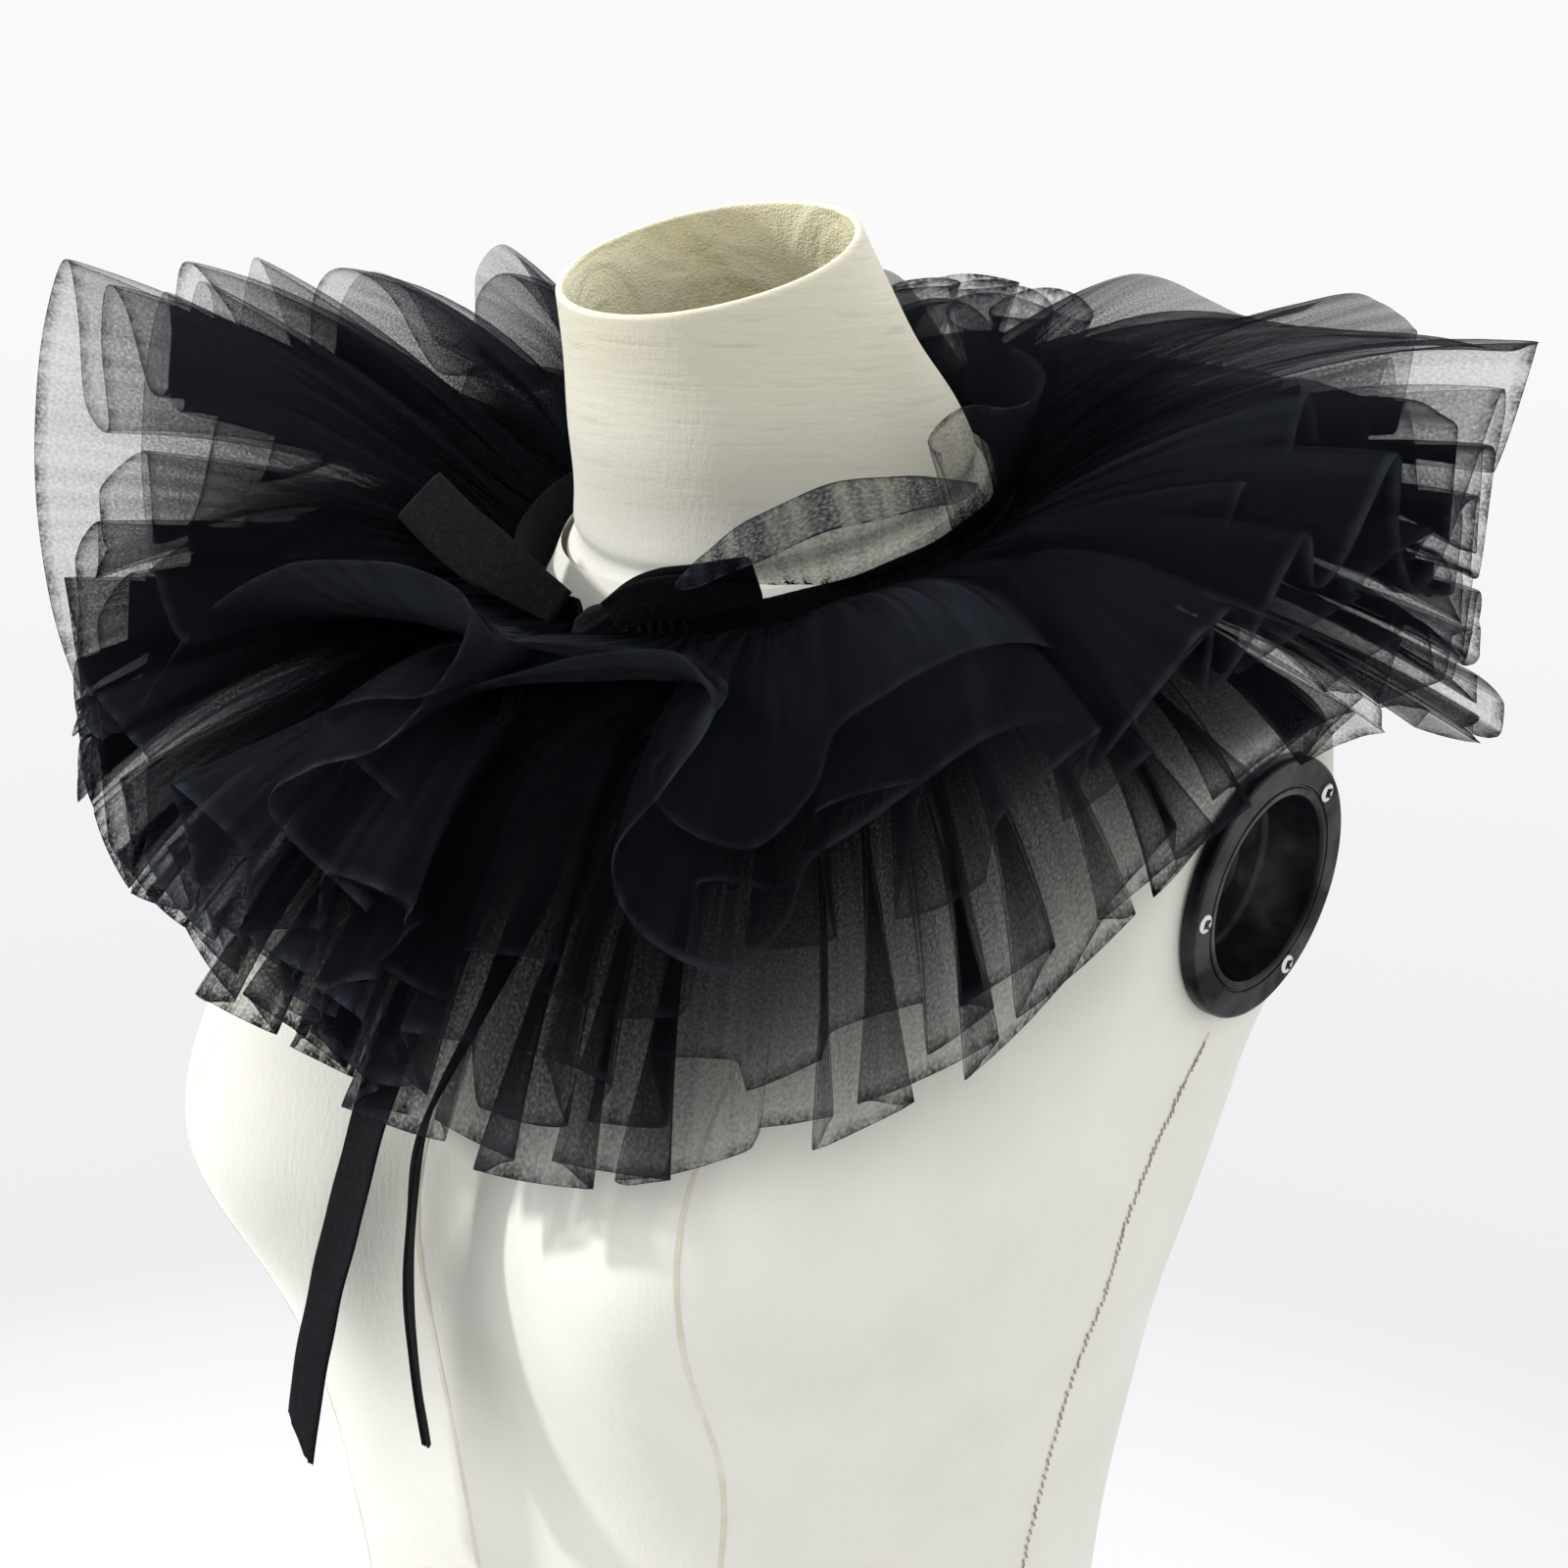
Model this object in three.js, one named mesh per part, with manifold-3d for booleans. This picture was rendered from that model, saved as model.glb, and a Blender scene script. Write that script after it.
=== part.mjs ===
// Tulle ruffle collar tied on with a jersey band, standing on a limbless dress form.
// Millimetres, +Z up. The front faces -Y and the wearer's left is +X.
// The origin is the centre of the form's flat base.
// A direction round the neck is an angle from the centre front, growing towards the wearer's left.
import * as THREE from 'three';
import { mergeVertices } from 'three/addons/utils/BufferGeometryUtils.js';
import Module from 'manifold-3d';

const wasm = await Module();
wasm.setup();

// ---------- driving dimensions ----------

const SEAM_GAP = 0.3;            // clearance between pieces that touch
const FORM_SEGMENTS = 40;        // facets round the torso

// Horizontal sections of the torso, from the base up. Tilt raises the back of a section.
const TORSO_SECTIONS = [
  { height: 0, halfWidth: 160, halfDepth: 118, centreY: 0, tilt: 0 },
  { height: 60, halfWidth: 157, halfDepth: 116, centreY: 0, tilt: 0 },
  { height: 120, halfWidth: 143, halfDepth: 109, centreY: -4, tilt: 0 },
  { height: 168, halfWidth: 137, halfDepth: 106, centreY: -7, tilt: 0 },
  { height: 215, halfWidth: 141, halfDepth: 110, centreY: -10, tilt: 0 },
  { height: 262, halfWidth: 149, halfDepth: 114, centreY: -10, tilt: 0 },
  { height: 305, halfWidth: 158, halfDepth: 116, centreY: -8, tilt: 0 },
  { height: 340, halfWidth: 170, halfDepth: 115, centreY: -6, tilt: 0 },
  { height: 372, halfWidth: 180, halfDepth: 111, centreY: -2, tilt: 0 },
  { height: 400, halfWidth: 188, halfDepth: 106, centreY: 3, tilt: 0 },
  { height: 428, halfWidth: 201, halfDepth: 100, centreY: 8, tilt: 0 },
  { height: 452, halfWidth: 207, halfDepth: 95, centreY: 12, tilt: 0 },
  { height: 474, halfWidth: 204, halfDepth: 89, centreY: 13, tilt: 3 },
  { height: 490, halfWidth: 200, halfDepth: 83, centreY: 13, tilt: 5 },
  { height: 501, halfWidth: 186, halfDepth: 78, centreY: 12, tilt: 7 },
  { height: 510, halfWidth: 152, halfDepth: 75, centreY: 11, tilt: 10 },
  { height: 517.5, halfWidth: 112, halfDepth: 73, centreY: 10, tilt: 14 },
  { height: 524.5, halfWidth: 83.6, halfDepth: 71, centreY: 10, tilt: 18 },
  { height: 538, halfWidth: 75, halfDepth: 69, centreY: 11, tilt: 19 },
  { height: 550.5, halfWidth: 70, halfDepth: 66, centreY: 12, tilt: 19.3 },
];
const SECTION_POWER = 2.3;       // 2 is an ellipse, more is squarer
const BUST = { offsetX: 100, height: 352, spreadX: 53, spreadZ: 49, depth: 53 };
// The shoulders sit behind the middle of the chest.
const SHOULDER = { innerX: 100, outerX: 180, lowZ: 380, highZ: 440, back: 13 };

// The neck is a leaning tube, open at the top.
const NECK_SEGMENTS = 28;
const NECK_RINGS = [
  { y: 12, z: 550.8, radius: 69.5, tilt: 19.3 },
  { y: 6, z: 568, radius: 65, tilt: 19.4 },
  { y: -7, z: 590, radius: 58.5, tilt: 19.6 },
  { y: -16.5, z: 611, radius: 53.5, tilt: 19.8 },
  { y: -26.1, z: 630.6, radius: 49.6, tilt: 19.9 },
];
const NECK_WALL = 4;

// Black socket plates for the arms that unhook.
const PLATE = { x: 188.1, y: 24.4, z: 448.9, radius: 42.3, thickness: 5, droop: 8.3 };
const SOCKET = { radius: 30, depth: 21, wall: 2 };
const PLATE_SEGMENTS = 28;

// The neckline is a circle in a plane that rises towards the back.
const NECKLINE = { y: 3.5, z: 552.2, radius: 82, tilt: 19.3 };
const BAND = { width: 22, thickness: 1.8, openHalfAngle: 6.5, segments: 48 };

// Where the ruffle's lowest and highest hems run, by direction round the neck.
// Radius is from the vertical axis, rise is the height above the floor,
// bulge is how far the strip bows up between the neckline and its hem.
const HEM_COURSE = [
  { angle: -180, lowRadius: 232, lowRise: 520, highRadius: 224, highRise: 628, lowBulge: 4, highBulge: 16 },
  { angle: -140, lowRadius: 238, lowRise: 505, highRadius: 230, highRise: 622, lowBulge: 4, highBulge: 16 },
  { angle: -110, lowRadius: 242, lowRise: 486, highRadius: 236, highRise: 618, lowBulge: 5, highBulge: 18 },
  { angle: -80, lowRadius: 244, lowRise: 468, highRadius: 240, highRise: 606, lowBulge: 8, highBulge: 14 },
  { angle: -55, lowRadius: 230, lowRise: 446, highRadius: 238, highRise: 582, lowBulge: 12, highBulge: 6 },
  { angle: -35, lowRadius: 206, lowRise: 414, highRadius: 220, highRise: 544, lowBulge: 14, highBulge: 4 },
  { angle: -15, lowRadius: 188, lowRise: 398, highRadius: 204, highRise: 508, lowBulge: 12, highBulge: 8 },
  { angle: 0, lowRadius: 182, lowRise: 392, highRadius: 196, highRise: 494, lowBulge: 10, highBulge: 28 },
  { angle: 20, lowRadius: 186, lowRise: 380, highRadius: 198, highRise: 486, lowBulge: 10, highBulge: 26 },
  { angle: 40, lowRadius: 193, lowRise: 380, highRadius: 202, highRise: 488, lowBulge: 10, highBulge: 34 },
  { angle: 60, lowRadius: 198, lowRise: 412, highRadius: 212, highRise: 510, lowBulge: 12, highBulge: 34 },
  { angle: 75, lowRadius: 206, lowRise: 464, highRadius: 226, highRise: 550, lowBulge: 16, highBulge: 30 },
  { angle: 90, lowRadius: 220, lowRise: 508, highRadius: 240, highRise: 592, lowBulge: 10, highBulge: 26 },
  { angle: 110, lowRadius: 238, lowRise: 488, highRadius: 248, highRise: 614, lowBulge: 6, highBulge: 20 },
  { angle: 135, lowRadius: 242, lowRise: 488, highRadius: 246, highRise: 618, lowBulge: 5, highBulge: 18 },
  { angle: 160, lowRadius: 236, lowRise: 506, highRadius: 232, highRise: 626, lowBulge: 4, highBulge: 16 },
];

// The strips leave the band just outside it, the lowest course lowest.
const GATHERING = { clearance: 0.95, lowestRise: 1.5, spread: 10.5 };

// The four tulle courses, from the one on the chest up. Level runs from the low hem to the high hem.
// Swing is how far the waves move the level, crest how much higher than deep they are, and sharp
// goes from round waves to pointed pleats.
const COURSES = [
  {
    name: 'tulle_tier_1_chest',
    level: 0.07, swing: 0.06, crest: 1, waves: 44, facets: 4, sharp: 0.9, rows: 3, seed: 0.4,
  },
  {
    name: 'tulle_tier_2',
    level: 0.29, swing: 0.115, crest: 1, waves: 34, facets: 4, sharp: 0.7, rows: 4, seed: 1.9,
  },
  {
    name: 'tulle_tier_3',
    level: 0.56, swing: 0.13, crest: 1, waves: 22, facets: 5, sharp: 0.3, rows: 4, seed: 3.1,
  },
  {
    name: 'tulle_tier_4_top',
    level: 0.84, swing: 0.12, crest: 2, waves: 13, facets: 8, sharp: 0, rows: 5, seed: 4.6,
  },
];
const TULLE_WALL = 1.2;
// Waves are uneven in spacing and size, and grow from the neckline to the hem.
const WAVE = { slowDrift: 0.9, quickDrift: 0.5, crest: 0.96, sizeSwing: 0.2, atNeckline: 0.1, growth: 1.2 };
// A strip also leans a little sideways, back and forth with its level.
const LEAN = { degrees: 0.7, turns: 2.2 };
// The strip's two ends part at the centre front by this half angle, at the neckline and at the hem.
const FRONT_OPENING = { neckline: 7.5, hem: 0.8, closing: 1.6 };

// The frill above the gathering stands round the neck from the left front to the right back.
const FRILL = {
  name: 'heading_frill', from: 46, to: 268, height: 46, lift: 80, swing: 14, waves: 11, rows: 4,
  clearance: 1.3, rootRise: 17, endHeight: 0.62, facetsPerWave: 7,
};

// The bow: loops are flattened rings of the band, tails its free ends.
const BOW_WALL = 1.6;
const LOOP = { halfDepth: 3.4, foldPoints: 4, sidePoints: 6 };
const KNOT = { halfWidth: 9.1, halfDepth: 9, halfHeight: 11.5, radius: 86 };

// Routes of the bow's strips, from the knot to the fold or the free end, with the direction across each.
const BOW_LOOPS = [
  {
    name: 'bow_loop_right', rootWidth: 12, width: 20,
    route: [
      { x: -9.6, y: -80.8, z: 522.1, acrossX: 0.3, acrossY: 0.45, acrossZ: 0.84 },
      { x: -30, y: -84, z: 531.3, acrossX: 0.39, acrossY: 0.54, acrossZ: 0.75 },
      { x: -54, y: -82, z: 540.3, acrossX: 0.39, acrossY: 0.54, acrossZ: 0.75 },
      { x: -78, y: -78, z: 551.4, acrossX: 0.39, acrossY: 0.54, acrossZ: 0.75 },
    ],
  },
  {
    name: 'bow_loop_left', rootWidth: 11, width: 16,
    route: [
      { x: 9.6, y: -80, z: 522, acrossX: 0.1, acrossY: -0.3, acrossZ: 0.95 },
      { x: 24, y: -79, z: 529.8, acrossX: 0.15, acrossY: -0.36, acrossZ: 0.92 },
      { x: 41.5, y: -72.8, z: 533.8, acrossX: 0.15, acrossY: -0.38, acrossZ: 0.92 },
      { x: 55.5, y: -64.5, z: 538.2, acrossX: 0.15, acrossY: -0.38, acrossZ: 0.92 },
    ],
  },
];
const BOW_TAILS = [
  {
    name: 'bow_tail_right', rootWidth: 7, width: 22, steps: 18,
    route: [
      { x: -5, y: -70.6, z: 501.9, acrossX: 1, acrossY: 0, acrossZ: 0 },
      { x: -5, y: -77, z: 492, acrossX: 1, acrossY: 0, acrossZ: 0 },
      { x: -6, y: -99, z: 470, acrossX: 1, acrossY: 0, acrossZ: 0 },
      { x: -8, y: -126, z: 440, acrossX: 0.95, acrossY: -0.2, acrossZ: 0 },
      { x: -9, y: -148, z: 405, acrossX: 0.95, acrossY: -0.32, acrossZ: 0 },
      { x: -19, y: -156, z: 366, acrossX: 0.95, acrossY: -0.32, acrossZ: 0 },
      { x: -29, y: -158, z: 331, acrossX: 0.95, acrossY: -0.32, acrossZ: 0 },
      { x: -41, y: -159, z: 290, acrossX: 0.95, acrossY: -0.32, acrossZ: 0 },
      { x: -48, y: -159, z: 256, acrossX: 0.95, acrossY: -0.32, acrossZ: 0 },
    ],
  },
  {
    name: 'bow_tail_left', rootWidth: 7, width: 18, steps: 18,
    route: [
      { x: 5, y: -70.6, z: 501.9, acrossX: 1, acrossY: 0, acrossZ: 0 },
      { x: 5.5, y: -77, z: 492, acrossX: 1, acrossY: -0.1, acrossZ: 0 },
      { x: 9, y: -93, z: 470, acrossX: 1, acrossY: -0.2, acrossZ: 0 },
      { x: 12, y: -114, z: 440, acrossX: 0.95, acrossY: -0.3, acrossZ: 0 },
      { x: 9, y: -140, z: 402, acrossX: 0.7, acrossY: -0.75, acrossZ: 0 },
      { x: -4, y: -148, z: 368, acrossX: 0.62, acrossY: -0.8, acrossZ: 0 },
      { x: -8, y: -149, z: 335, acrossX: 0.62, acrossY: -0.8, acrossZ: 0 },
      { x: -8, y: -149, z: 303, acrossX: 0.66, acrossY: -0.76, acrossZ: 0 },
      { x: 3, y: -152, z: 268, acrossX: 0.72, acrossY: -0.7, acrossZ: 0 },
    ],
  },
];

// ---------- shared helpers ----------

const radians = THREE.MathUtils.degToRad;

function tableAt(table, key, at, column) {
  const last = table.length - 1;
  let index = 0;
  while (index < last - 1 && table[index + 1][key] < at) index += 1;
  const a = table[index];
  const b = table[index + 1];
  const share = THREE.MathUtils.clamp((at - a[key]) / (b[key] - a[key]), 0, 1);
  return THREE.MathUtils.lerp(a[column], b[column], share);
}

// A closed body from a list of closed rings of points. A ring loft has two end caps;
// a looped loft joins its last ring to its first.
function ringLoft(rings, looped) {
  const count = rings[0].length;
  const positions = rings.flat().flatMap((point) => [point.x, point.y, point.z]);
  const triangles = [];
  const spans = looped ? rings.length : rings.length - 1;
  for (let ring = 0; ring < spans; ring += 1) {
    for (let side = 0; side < count; side += 1) {
      const next = (side + 1) % count;
      const a = ring * count + side;
      const b = ring * count + next;
      const c = ((ring + 1) % rings.length) * count + next;
      const d = ((ring + 1) % rings.length) * count + side;
      triangles.push(a, b, c, a, c, d);
    }
  }
  if (!looped) {
    for (let side = 1; side < count - 1; side += 1) {
      const top = (rings.length - 1) * count;
      triangles.push(0, side + 1, side);
      triangles.push(top, top + side, top + side + 1);
    }
  }
  return facingOut(positions, triangles);
}

function facingOut(positions, triangles) {
  let volume = 0;
  const corner = [new THREE.Vector3(), new THREE.Vector3(), new THREE.Vector3()];
  for (let at = 0; at < triangles.length; at += 3) {
    corner.forEach((point, i) => point.fromArray(positions, triangles[at + i] * 3));
    volume += corner[0].dot(corner[1].clone().cross(corner[2]));
  }
  if (volume < 0) triangles.reverse();
  const geometry = new THREE.BufferGeometry();
  geometry.setAttribute('position', new THREE.Float32BufferAttribute(positions, 3));
  geometry.setIndex(triangles);
  return geometry;
}

function toSolid(geometry) {
  const bare = geometry.clone();
  bare.deleteAttribute('normal');
  bare.deleteAttribute('uv');
  const merged = mergeVertices(bare, 1e-3);
  const vertProperties = new Float32Array(merged.attributes.position.array);
  const triVerts = new Uint32Array(merged.index.array);
  return new wasm.Manifold(new wasm.Mesh({ numProp: 3, vertProperties, triVerts }));
}

function toGeometry(solid) {
  const mesh = solid.getMesh();
  const geometry = new THREE.BufferGeometry();
  geometry.setAttribute('position', new THREE.BufferAttribute(mesh.vertProperties, 3));
  geometry.setIndex(new THREE.BufferAttribute(mesh.triVerts, 1));
  return geometry;
}

// ---------- the dress form ----------

function superellipse(angle, halfWidth, halfDepth) {
  const across = Math.sin(angle);
  const ahead = Math.cos(angle);
  const power = 2 / SECTION_POWER;
  const x = halfWidth * Math.sign(across) * Math.abs(across) ** power;
  const y = -halfDepth * Math.sign(ahead) * Math.abs(ahead) ** power;
  return [x, y];
}

function bustDepth(x, z) {
  const side = Math.abs(x) - BUST.offsetX;
  const fall = (side / BUST.spreadX) ** 2 + ((z - BUST.height) / BUST.spreadZ) ** 2;
  return BUST.depth * Math.exp(-0.5 * fall);
}

function shoulderBack(x, height) {
  const outwards = THREE.MathUtils.smoothstep(Math.abs(x), SHOULDER.innerX, SHOULDER.outerX);
  return SHOULDER.back * outwards * THREE.MathUtils.smoothstep(height, SHOULDER.lowZ, SHOULDER.highZ);
}

function torsoPoint(section, angle) {
  const [x, y] = superellipse(angle, section.halfWidth, section.halfDepth);
  const z = section.height + Math.tan(radians(section.tilt)) * y;
  const front = THREE.MathUtils.smoothstep(-y / section.halfDepth, 0.1, 0.7);
  const back = shoulderBack(x, section.height) - front * bustDepth(x, z);
  return new THREE.Vector3(x, section.centreY + y + back, z);
}

function plateTurn(side) {
  const axis = new THREE.Vector3(side * Math.cos(radians(PLATE.droop)), 0, -Math.sin(radians(PLATE.droop)));
  return new THREE.Quaternion().setFromUnitVectors(new THREE.Vector3(0, 1, 0), axis);
}

// A solid of revolution about the arm plate's axis, its profile measured outwards from the plate's face.
function onPlateAxis(profile, side, segments) {
  const points = profile.map(([radius, out]) => new THREE.Vector2(radius, out));
  const geometry = new THREE.LatheGeometry(points, segments);
  geometry.applyQuaternion(plateTurn(side));
  geometry.translate(side * PLATE.x, PLATE.y, PLATE.z);
  return geometry;
}

function torsoGeometry() {
  const rings = TORSO_SECTIONS.map((section) => {
    const ring = [];
    for (let facet = 0; facet < FORM_SEGMENTS; facet += 1) {
      ring.push(torsoPoint(section, (facet / FORM_SEGMENTS) * 2 * Math.PI));
    }
    return ring;
  });
  let solid = toSolid(ringLoft(rings, false));
  const face = -PLATE.thickness - SEAM_GAP;
  const pocket = SOCKET.radius + SOCKET.wall + SEAM_GAP;
  const floor = -SOCKET.depth - SOCKET.wall - SEAM_GAP;
  const beyond = 60;
  const wide = 144;
  const cutter = [[0, floor], [pocket, floor], [pocket, face], [wide, face], [wide, beyond], [0, beyond]];
  for (const side of [-1, 1]) {
    solid = solid.subtract(toSolid(onPlateAxis(cutter, side, PLATE_SEGMENTS)));
  }
  return toGeometry(solid);
}

function tiltedRing(ring, radius, segments) {
  const points = [];
  for (let facet = 0; facet < segments; facet += 1) {
    const angle = (facet / segments) * 2 * Math.PI;
    const ahead = -Math.cos(angle) * radius;
    points.push(new THREE.Vector3(
      Math.sin(angle) * radius,
      ring.y + ahead * Math.cos(radians(ring.tilt)),
      ring.z + ahead * Math.sin(radians(ring.tilt)),
    ));
  }
  return points;
}

function neckGeometry() {
  const outside = NECK_RINGS.map((ring) => tiltedRing(ring, ring.radius, NECK_SEGMENTS));
  const inside = NECK_RINGS.map((ring) => tiltedRing(ring, ring.radius - NECK_WALL, NECK_SEGMENTS));
  return ringLoft([...outside, ...inside.reverse()], true);
}

function plateGeometry(side) {
  const cup = SOCKET.radius + SOCKET.wall;
  const profile = [
    [0, -SOCKET.depth - SOCKET.wall], [cup, -SOCKET.depth - SOCKET.wall], [cup, -PLATE.thickness],
    [PLATE.radius, -PLATE.thickness], [PLATE.radius, -1], [PLATE.radius - 1, 0],
    [SOCKET.radius + 1, 0], [SOCKET.radius, -1], [SOCKET.radius, -SOCKET.depth], [0, -SOCKET.depth],
  ];
  return toGeometry(toSolid(onPlateAxis(profile, side, PLATE_SEGMENTS)));
}

// ---------- the neck band ----------

const NECKLINE_TILT = radians(NECKLINE.tilt);
const NECKLINE_UP = new THREE.Vector3(0, -Math.sin(NECKLINE_TILT), Math.cos(NECKLINE_TILT));
const NECKLINE_BACK = new THREE.Vector3(0, Math.cos(NECKLINE_TILT), Math.sin(NECKLINE_TILT));

// A point by the neckline: direction in degrees, distance from its axis, height above the band's lower edge.
function necklinePoint(angle, radius, rise) {
  return new THREE.Vector3(0, NECKLINE.y, NECKLINE.z)
    .addScaledVector(NECKLINE_UP, rise - BAND.width)
    .addScaledVector(new THREE.Vector3(1, 0, 0), radius * Math.sin(radians(angle)))
    .addScaledVector(NECKLINE_BACK, -radius * Math.cos(radians(angle)));
}

function bandGeometry() {
  const rings = [];
  for (let step = 0; step <= BAND.segments; step += 1) {
    const angle = THREE.MathUtils.lerp(BAND.openHalfAngle, 360 - BAND.openHalfAngle, step / BAND.segments);
    const outer = NECKLINE.radius + BAND.thickness;
    rings.push([
      necklinePoint(angle, NECKLINE.radius, 0), necklinePoint(angle, outer, 0),
      necklinePoint(angle, outer, BAND.width), necklinePoint(angle, NECKLINE.radius, BAND.width),
    ]);
  }
  return ringLoft(rings, false);
}

// ---------- the tulle ruffle ----------

function hemAt(angle, column) {
  const turned = ((angle + 180) % 360 + 360) % 360 - 180;
  const wrapped = [...HEM_COURSE, { ...HEM_COURSE[0], angle: 180 }];
  return tableAt(wrapped, 'angle', turned, column);
}

// A point of the ruffle: level 0 is the lowest hem's strip and 1 the highest's,
// along 0 is the neckline and 1 the hem.
function rufflePoint(angle, level, along) {
  const root = NECKLINE.radius + BAND.thickness + GATHERING.clearance;
  const start = necklinePoint(angle, root, GATHERING.lowestRise + GATHERING.spread * level);
  const blend = (low, high) => THREE.MathUtils.lerp(hemAt(angle, low), hemAt(angle, high), level);
  const radius = blend('lowRadius', 'highRadius');
  const rise = blend('lowRise', 'highRise');
  const hem = new THREE.Vector3(Math.sin(radians(angle)) * radius, -Math.cos(radians(angle)) * radius, rise);
  const run = Math.hypot(hem.x - start.x, hem.y - start.y);
  const drop = hem.z - start.z;
  const bow = blend('lowBulge', 'highBulge') * 4 * along * (1 - along);
  const length = Math.hypot(run, drop);
  const out = new THREE.Vector3(Math.sin(radians(angle)), -Math.cos(radians(angle)), 0);
  return start.lerp(hem, along)
    .addScaledVector(out, (-drop / length) * bow)
    .add(new THREE.Vector3(0, 0, (run / length) * bow));
}

function waveAt(course, angle, along) {
  const turn = radians(angle);
  const slow = WAVE.slowDrift * Math.sin(3 * turn + course.seed);
  const quick = WAVE.quickDrift * Math.sin(7 * turn + 2 * course.seed);
  const round = Math.sin(course.waves * turn + slow + quick);
  const pointed = Math.asin(WAVE.crest * round) / Math.asin(WAVE.crest);
  const size = 1 - WAVE.sizeSwing * (1 - Math.sin(5 * turn + 3 * course.seed));
  const grown = WAVE.atNeckline + (1 - WAVE.atNeckline) * along ** WAVE.growth;
  const wave = THREE.MathUtils.lerp(round, pointed, course.sharp) * size * grown;
  return wave > 0 ? wave * course.crest : wave;
}

function coursePoint(course, angle, along) {
  const level = course.level + course.swing * waveAt(course, angle, along);
  const lean = LEAN.degrees * along * Math.sin(2 * Math.PI * LEAN.turns * level + course.seed);
  return rufflePoint(angle + lean, level, along);
}

function courseNormal(course, angle, along) {
  const stepAngle = 0.2;
  const stepAlong = 0.01;
  const low = Math.max(along - stepAlong, 0);
  const high = Math.min(along + stepAlong, 1);
  const before = coursePoint(course, angle - stepAngle, along);
  const across = coursePoint(course, angle + stepAngle, along).sub(before);
  const outwards = coursePoint(course, angle, high).sub(coursePoint(course, angle, low));
  return outwards.cross(across).normalize();
}

// A wall through a grid of middle points: an upper and a lower face, whose cells are split along
// the same diagonals, and a rim along all four edges.
function wallGeometry(columns, rows, pointAt, normalAt, thickness) {
  const positions = [];
  for (const side of [1, -1]) {
    for (let column = 0; column <= columns; column += 1) {
      for (let row = 0; row <= rows; row += 1) {
        const normal = normalAt(column / columns, row / rows);
        const point = pointAt(column / columns, row / rows).addScaledVector(normal, side * thickness / 2);
        positions.push(point.x, point.y, point.z);
      }
    }
  }
  const under = (columns + 1) * (rows + 1);
  const triangles = [];
  const rim = (from, to) => triangles.push(to, from, from + under, to, from + under, to + under);
  for (let column = 0; column < columns; column += 1) {
    for (let row = 0; row < rows; row += 1) {
      const a = column * (rows + 1) + row;
      const b = a + 1;
      const c = b + rows + 1;
      const d = c - 1;
      triangles.push(a, b, c, a, c, d);
      triangles.push(a + under, c + under, b + under, a + under, d + under, c + under);
      if (row === 0) rim(d, a);
      if (row === rows - 1) rim(b, c);
      if (column === 0) rim(a, b);
      if (column === columns - 1) rim(c, d);
    }
  }
  return facingOut(positions, triangles);
}

// The strip narrows its centre front opening from the neckline to the hem.
function openingAngle(share, along) {
  const closed = Math.min(1, along * FRONT_OPENING.closing);
  const half = THREE.MathUtils.lerp(FRONT_OPENING.neckline, FRONT_OPENING.hem, closed);
  return THREE.MathUtils.lerp(half, 360 - half, share);
}

function courseGeometry(course) {
  return wallGeometry(
    course.waves * course.facets,
    course.rows,
    (share, along) => coursePoint(course, openingAngle(share, along), along),
    (share, along) => courseNormal(course, openingAngle(share, along), along),
    TULLE_WALL,
  );
}

function frillPoint(angle, along) {
  const turn = radians(angle);
  const ends = THREE.MathUtils.smoothstep(Math.min(angle - FRILL.from, FRILL.to - angle), -6, 24);
  const wave = Math.sin(FRILL.waves * (360 / (FRILL.to - FRILL.from)) * turn + 0.8 * Math.sin(4 * turn));
  const lift = radians(FRILL.lift + FRILL.swing * wave);
  const height = FRILL.height * THREE.MathUtils.lerp(FRILL.endHeight, 1, ends);
  const reach = height * (1 + 0.1 * Math.sin(9 * turn)) * along;
  const root = NECKLINE.radius + BAND.thickness + FRILL.clearance;
  return necklinePoint(angle, root + reach * Math.cos(lift), FRILL.rootRise + reach * Math.sin(lift));
}

function frillNormal(angle, along) {
  const stepAngle = 0.2;
  const stepAlong = 0.02;
  const across = frillPoint(angle + stepAngle, along).sub(frillPoint(angle - stepAngle, along));
  const low = Math.max(along - stepAlong, 0);
  const high = Math.min(along + stepAlong, 1);
  return frillPoint(angle, high).sub(frillPoint(angle, low)).cross(across).normalize();
}

function frillGeometry() {
  const angleAt = (share) => THREE.MathUtils.lerp(FRILL.from, FRILL.to, share);
  return wallGeometry(
    FRILL.waves * FRILL.facetsPerWave,
    FRILL.rows,
    (share, along) => frillPoint(angleAt(share), along),
    (share, along) => frillNormal(angleAt(share), along),
    TULLE_WALL,
  );
}

// ---------- the bow ----------

function knotGeometry() {
  const geometry = new THREE.SphereGeometry(1, 16, 12);
  geometry.scale(KNOT.halfWidth, KNOT.halfDepth, KNOT.halfHeight);
  geometry.rotateX(radians(NECKLINE.tilt));
  const centre = necklinePoint(0, KNOT.radius, BAND.width / 2);
  geometry.translate(centre.x, centre.y, centre.z);
  return toGeometry(toSolid(geometry));
}

function stripCurves(strip) {
  const places = strip.route.map((at) => new THREE.Vector3(at.x, at.y, at.z));
  const directions = strip.route.map((at) => new THREE.Vector3(at.acrossX, at.acrossY, at.acrossZ));
  return {
    route: new THREE.CatmullRomCurve3(places),
    widthways: new THREE.CatmullRomCurve3(directions),
  };
}

// Directions along a strip's route: forward, across its width and out of its face.
function stripFrame(route, widthways, share) {
  const forward = route.getTangent(share);
  const face = forward.clone().cross(widthways.getPoint(share)).normalize();
  return { forward, face, across: face.clone().cross(forward).normalize() };
}

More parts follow.
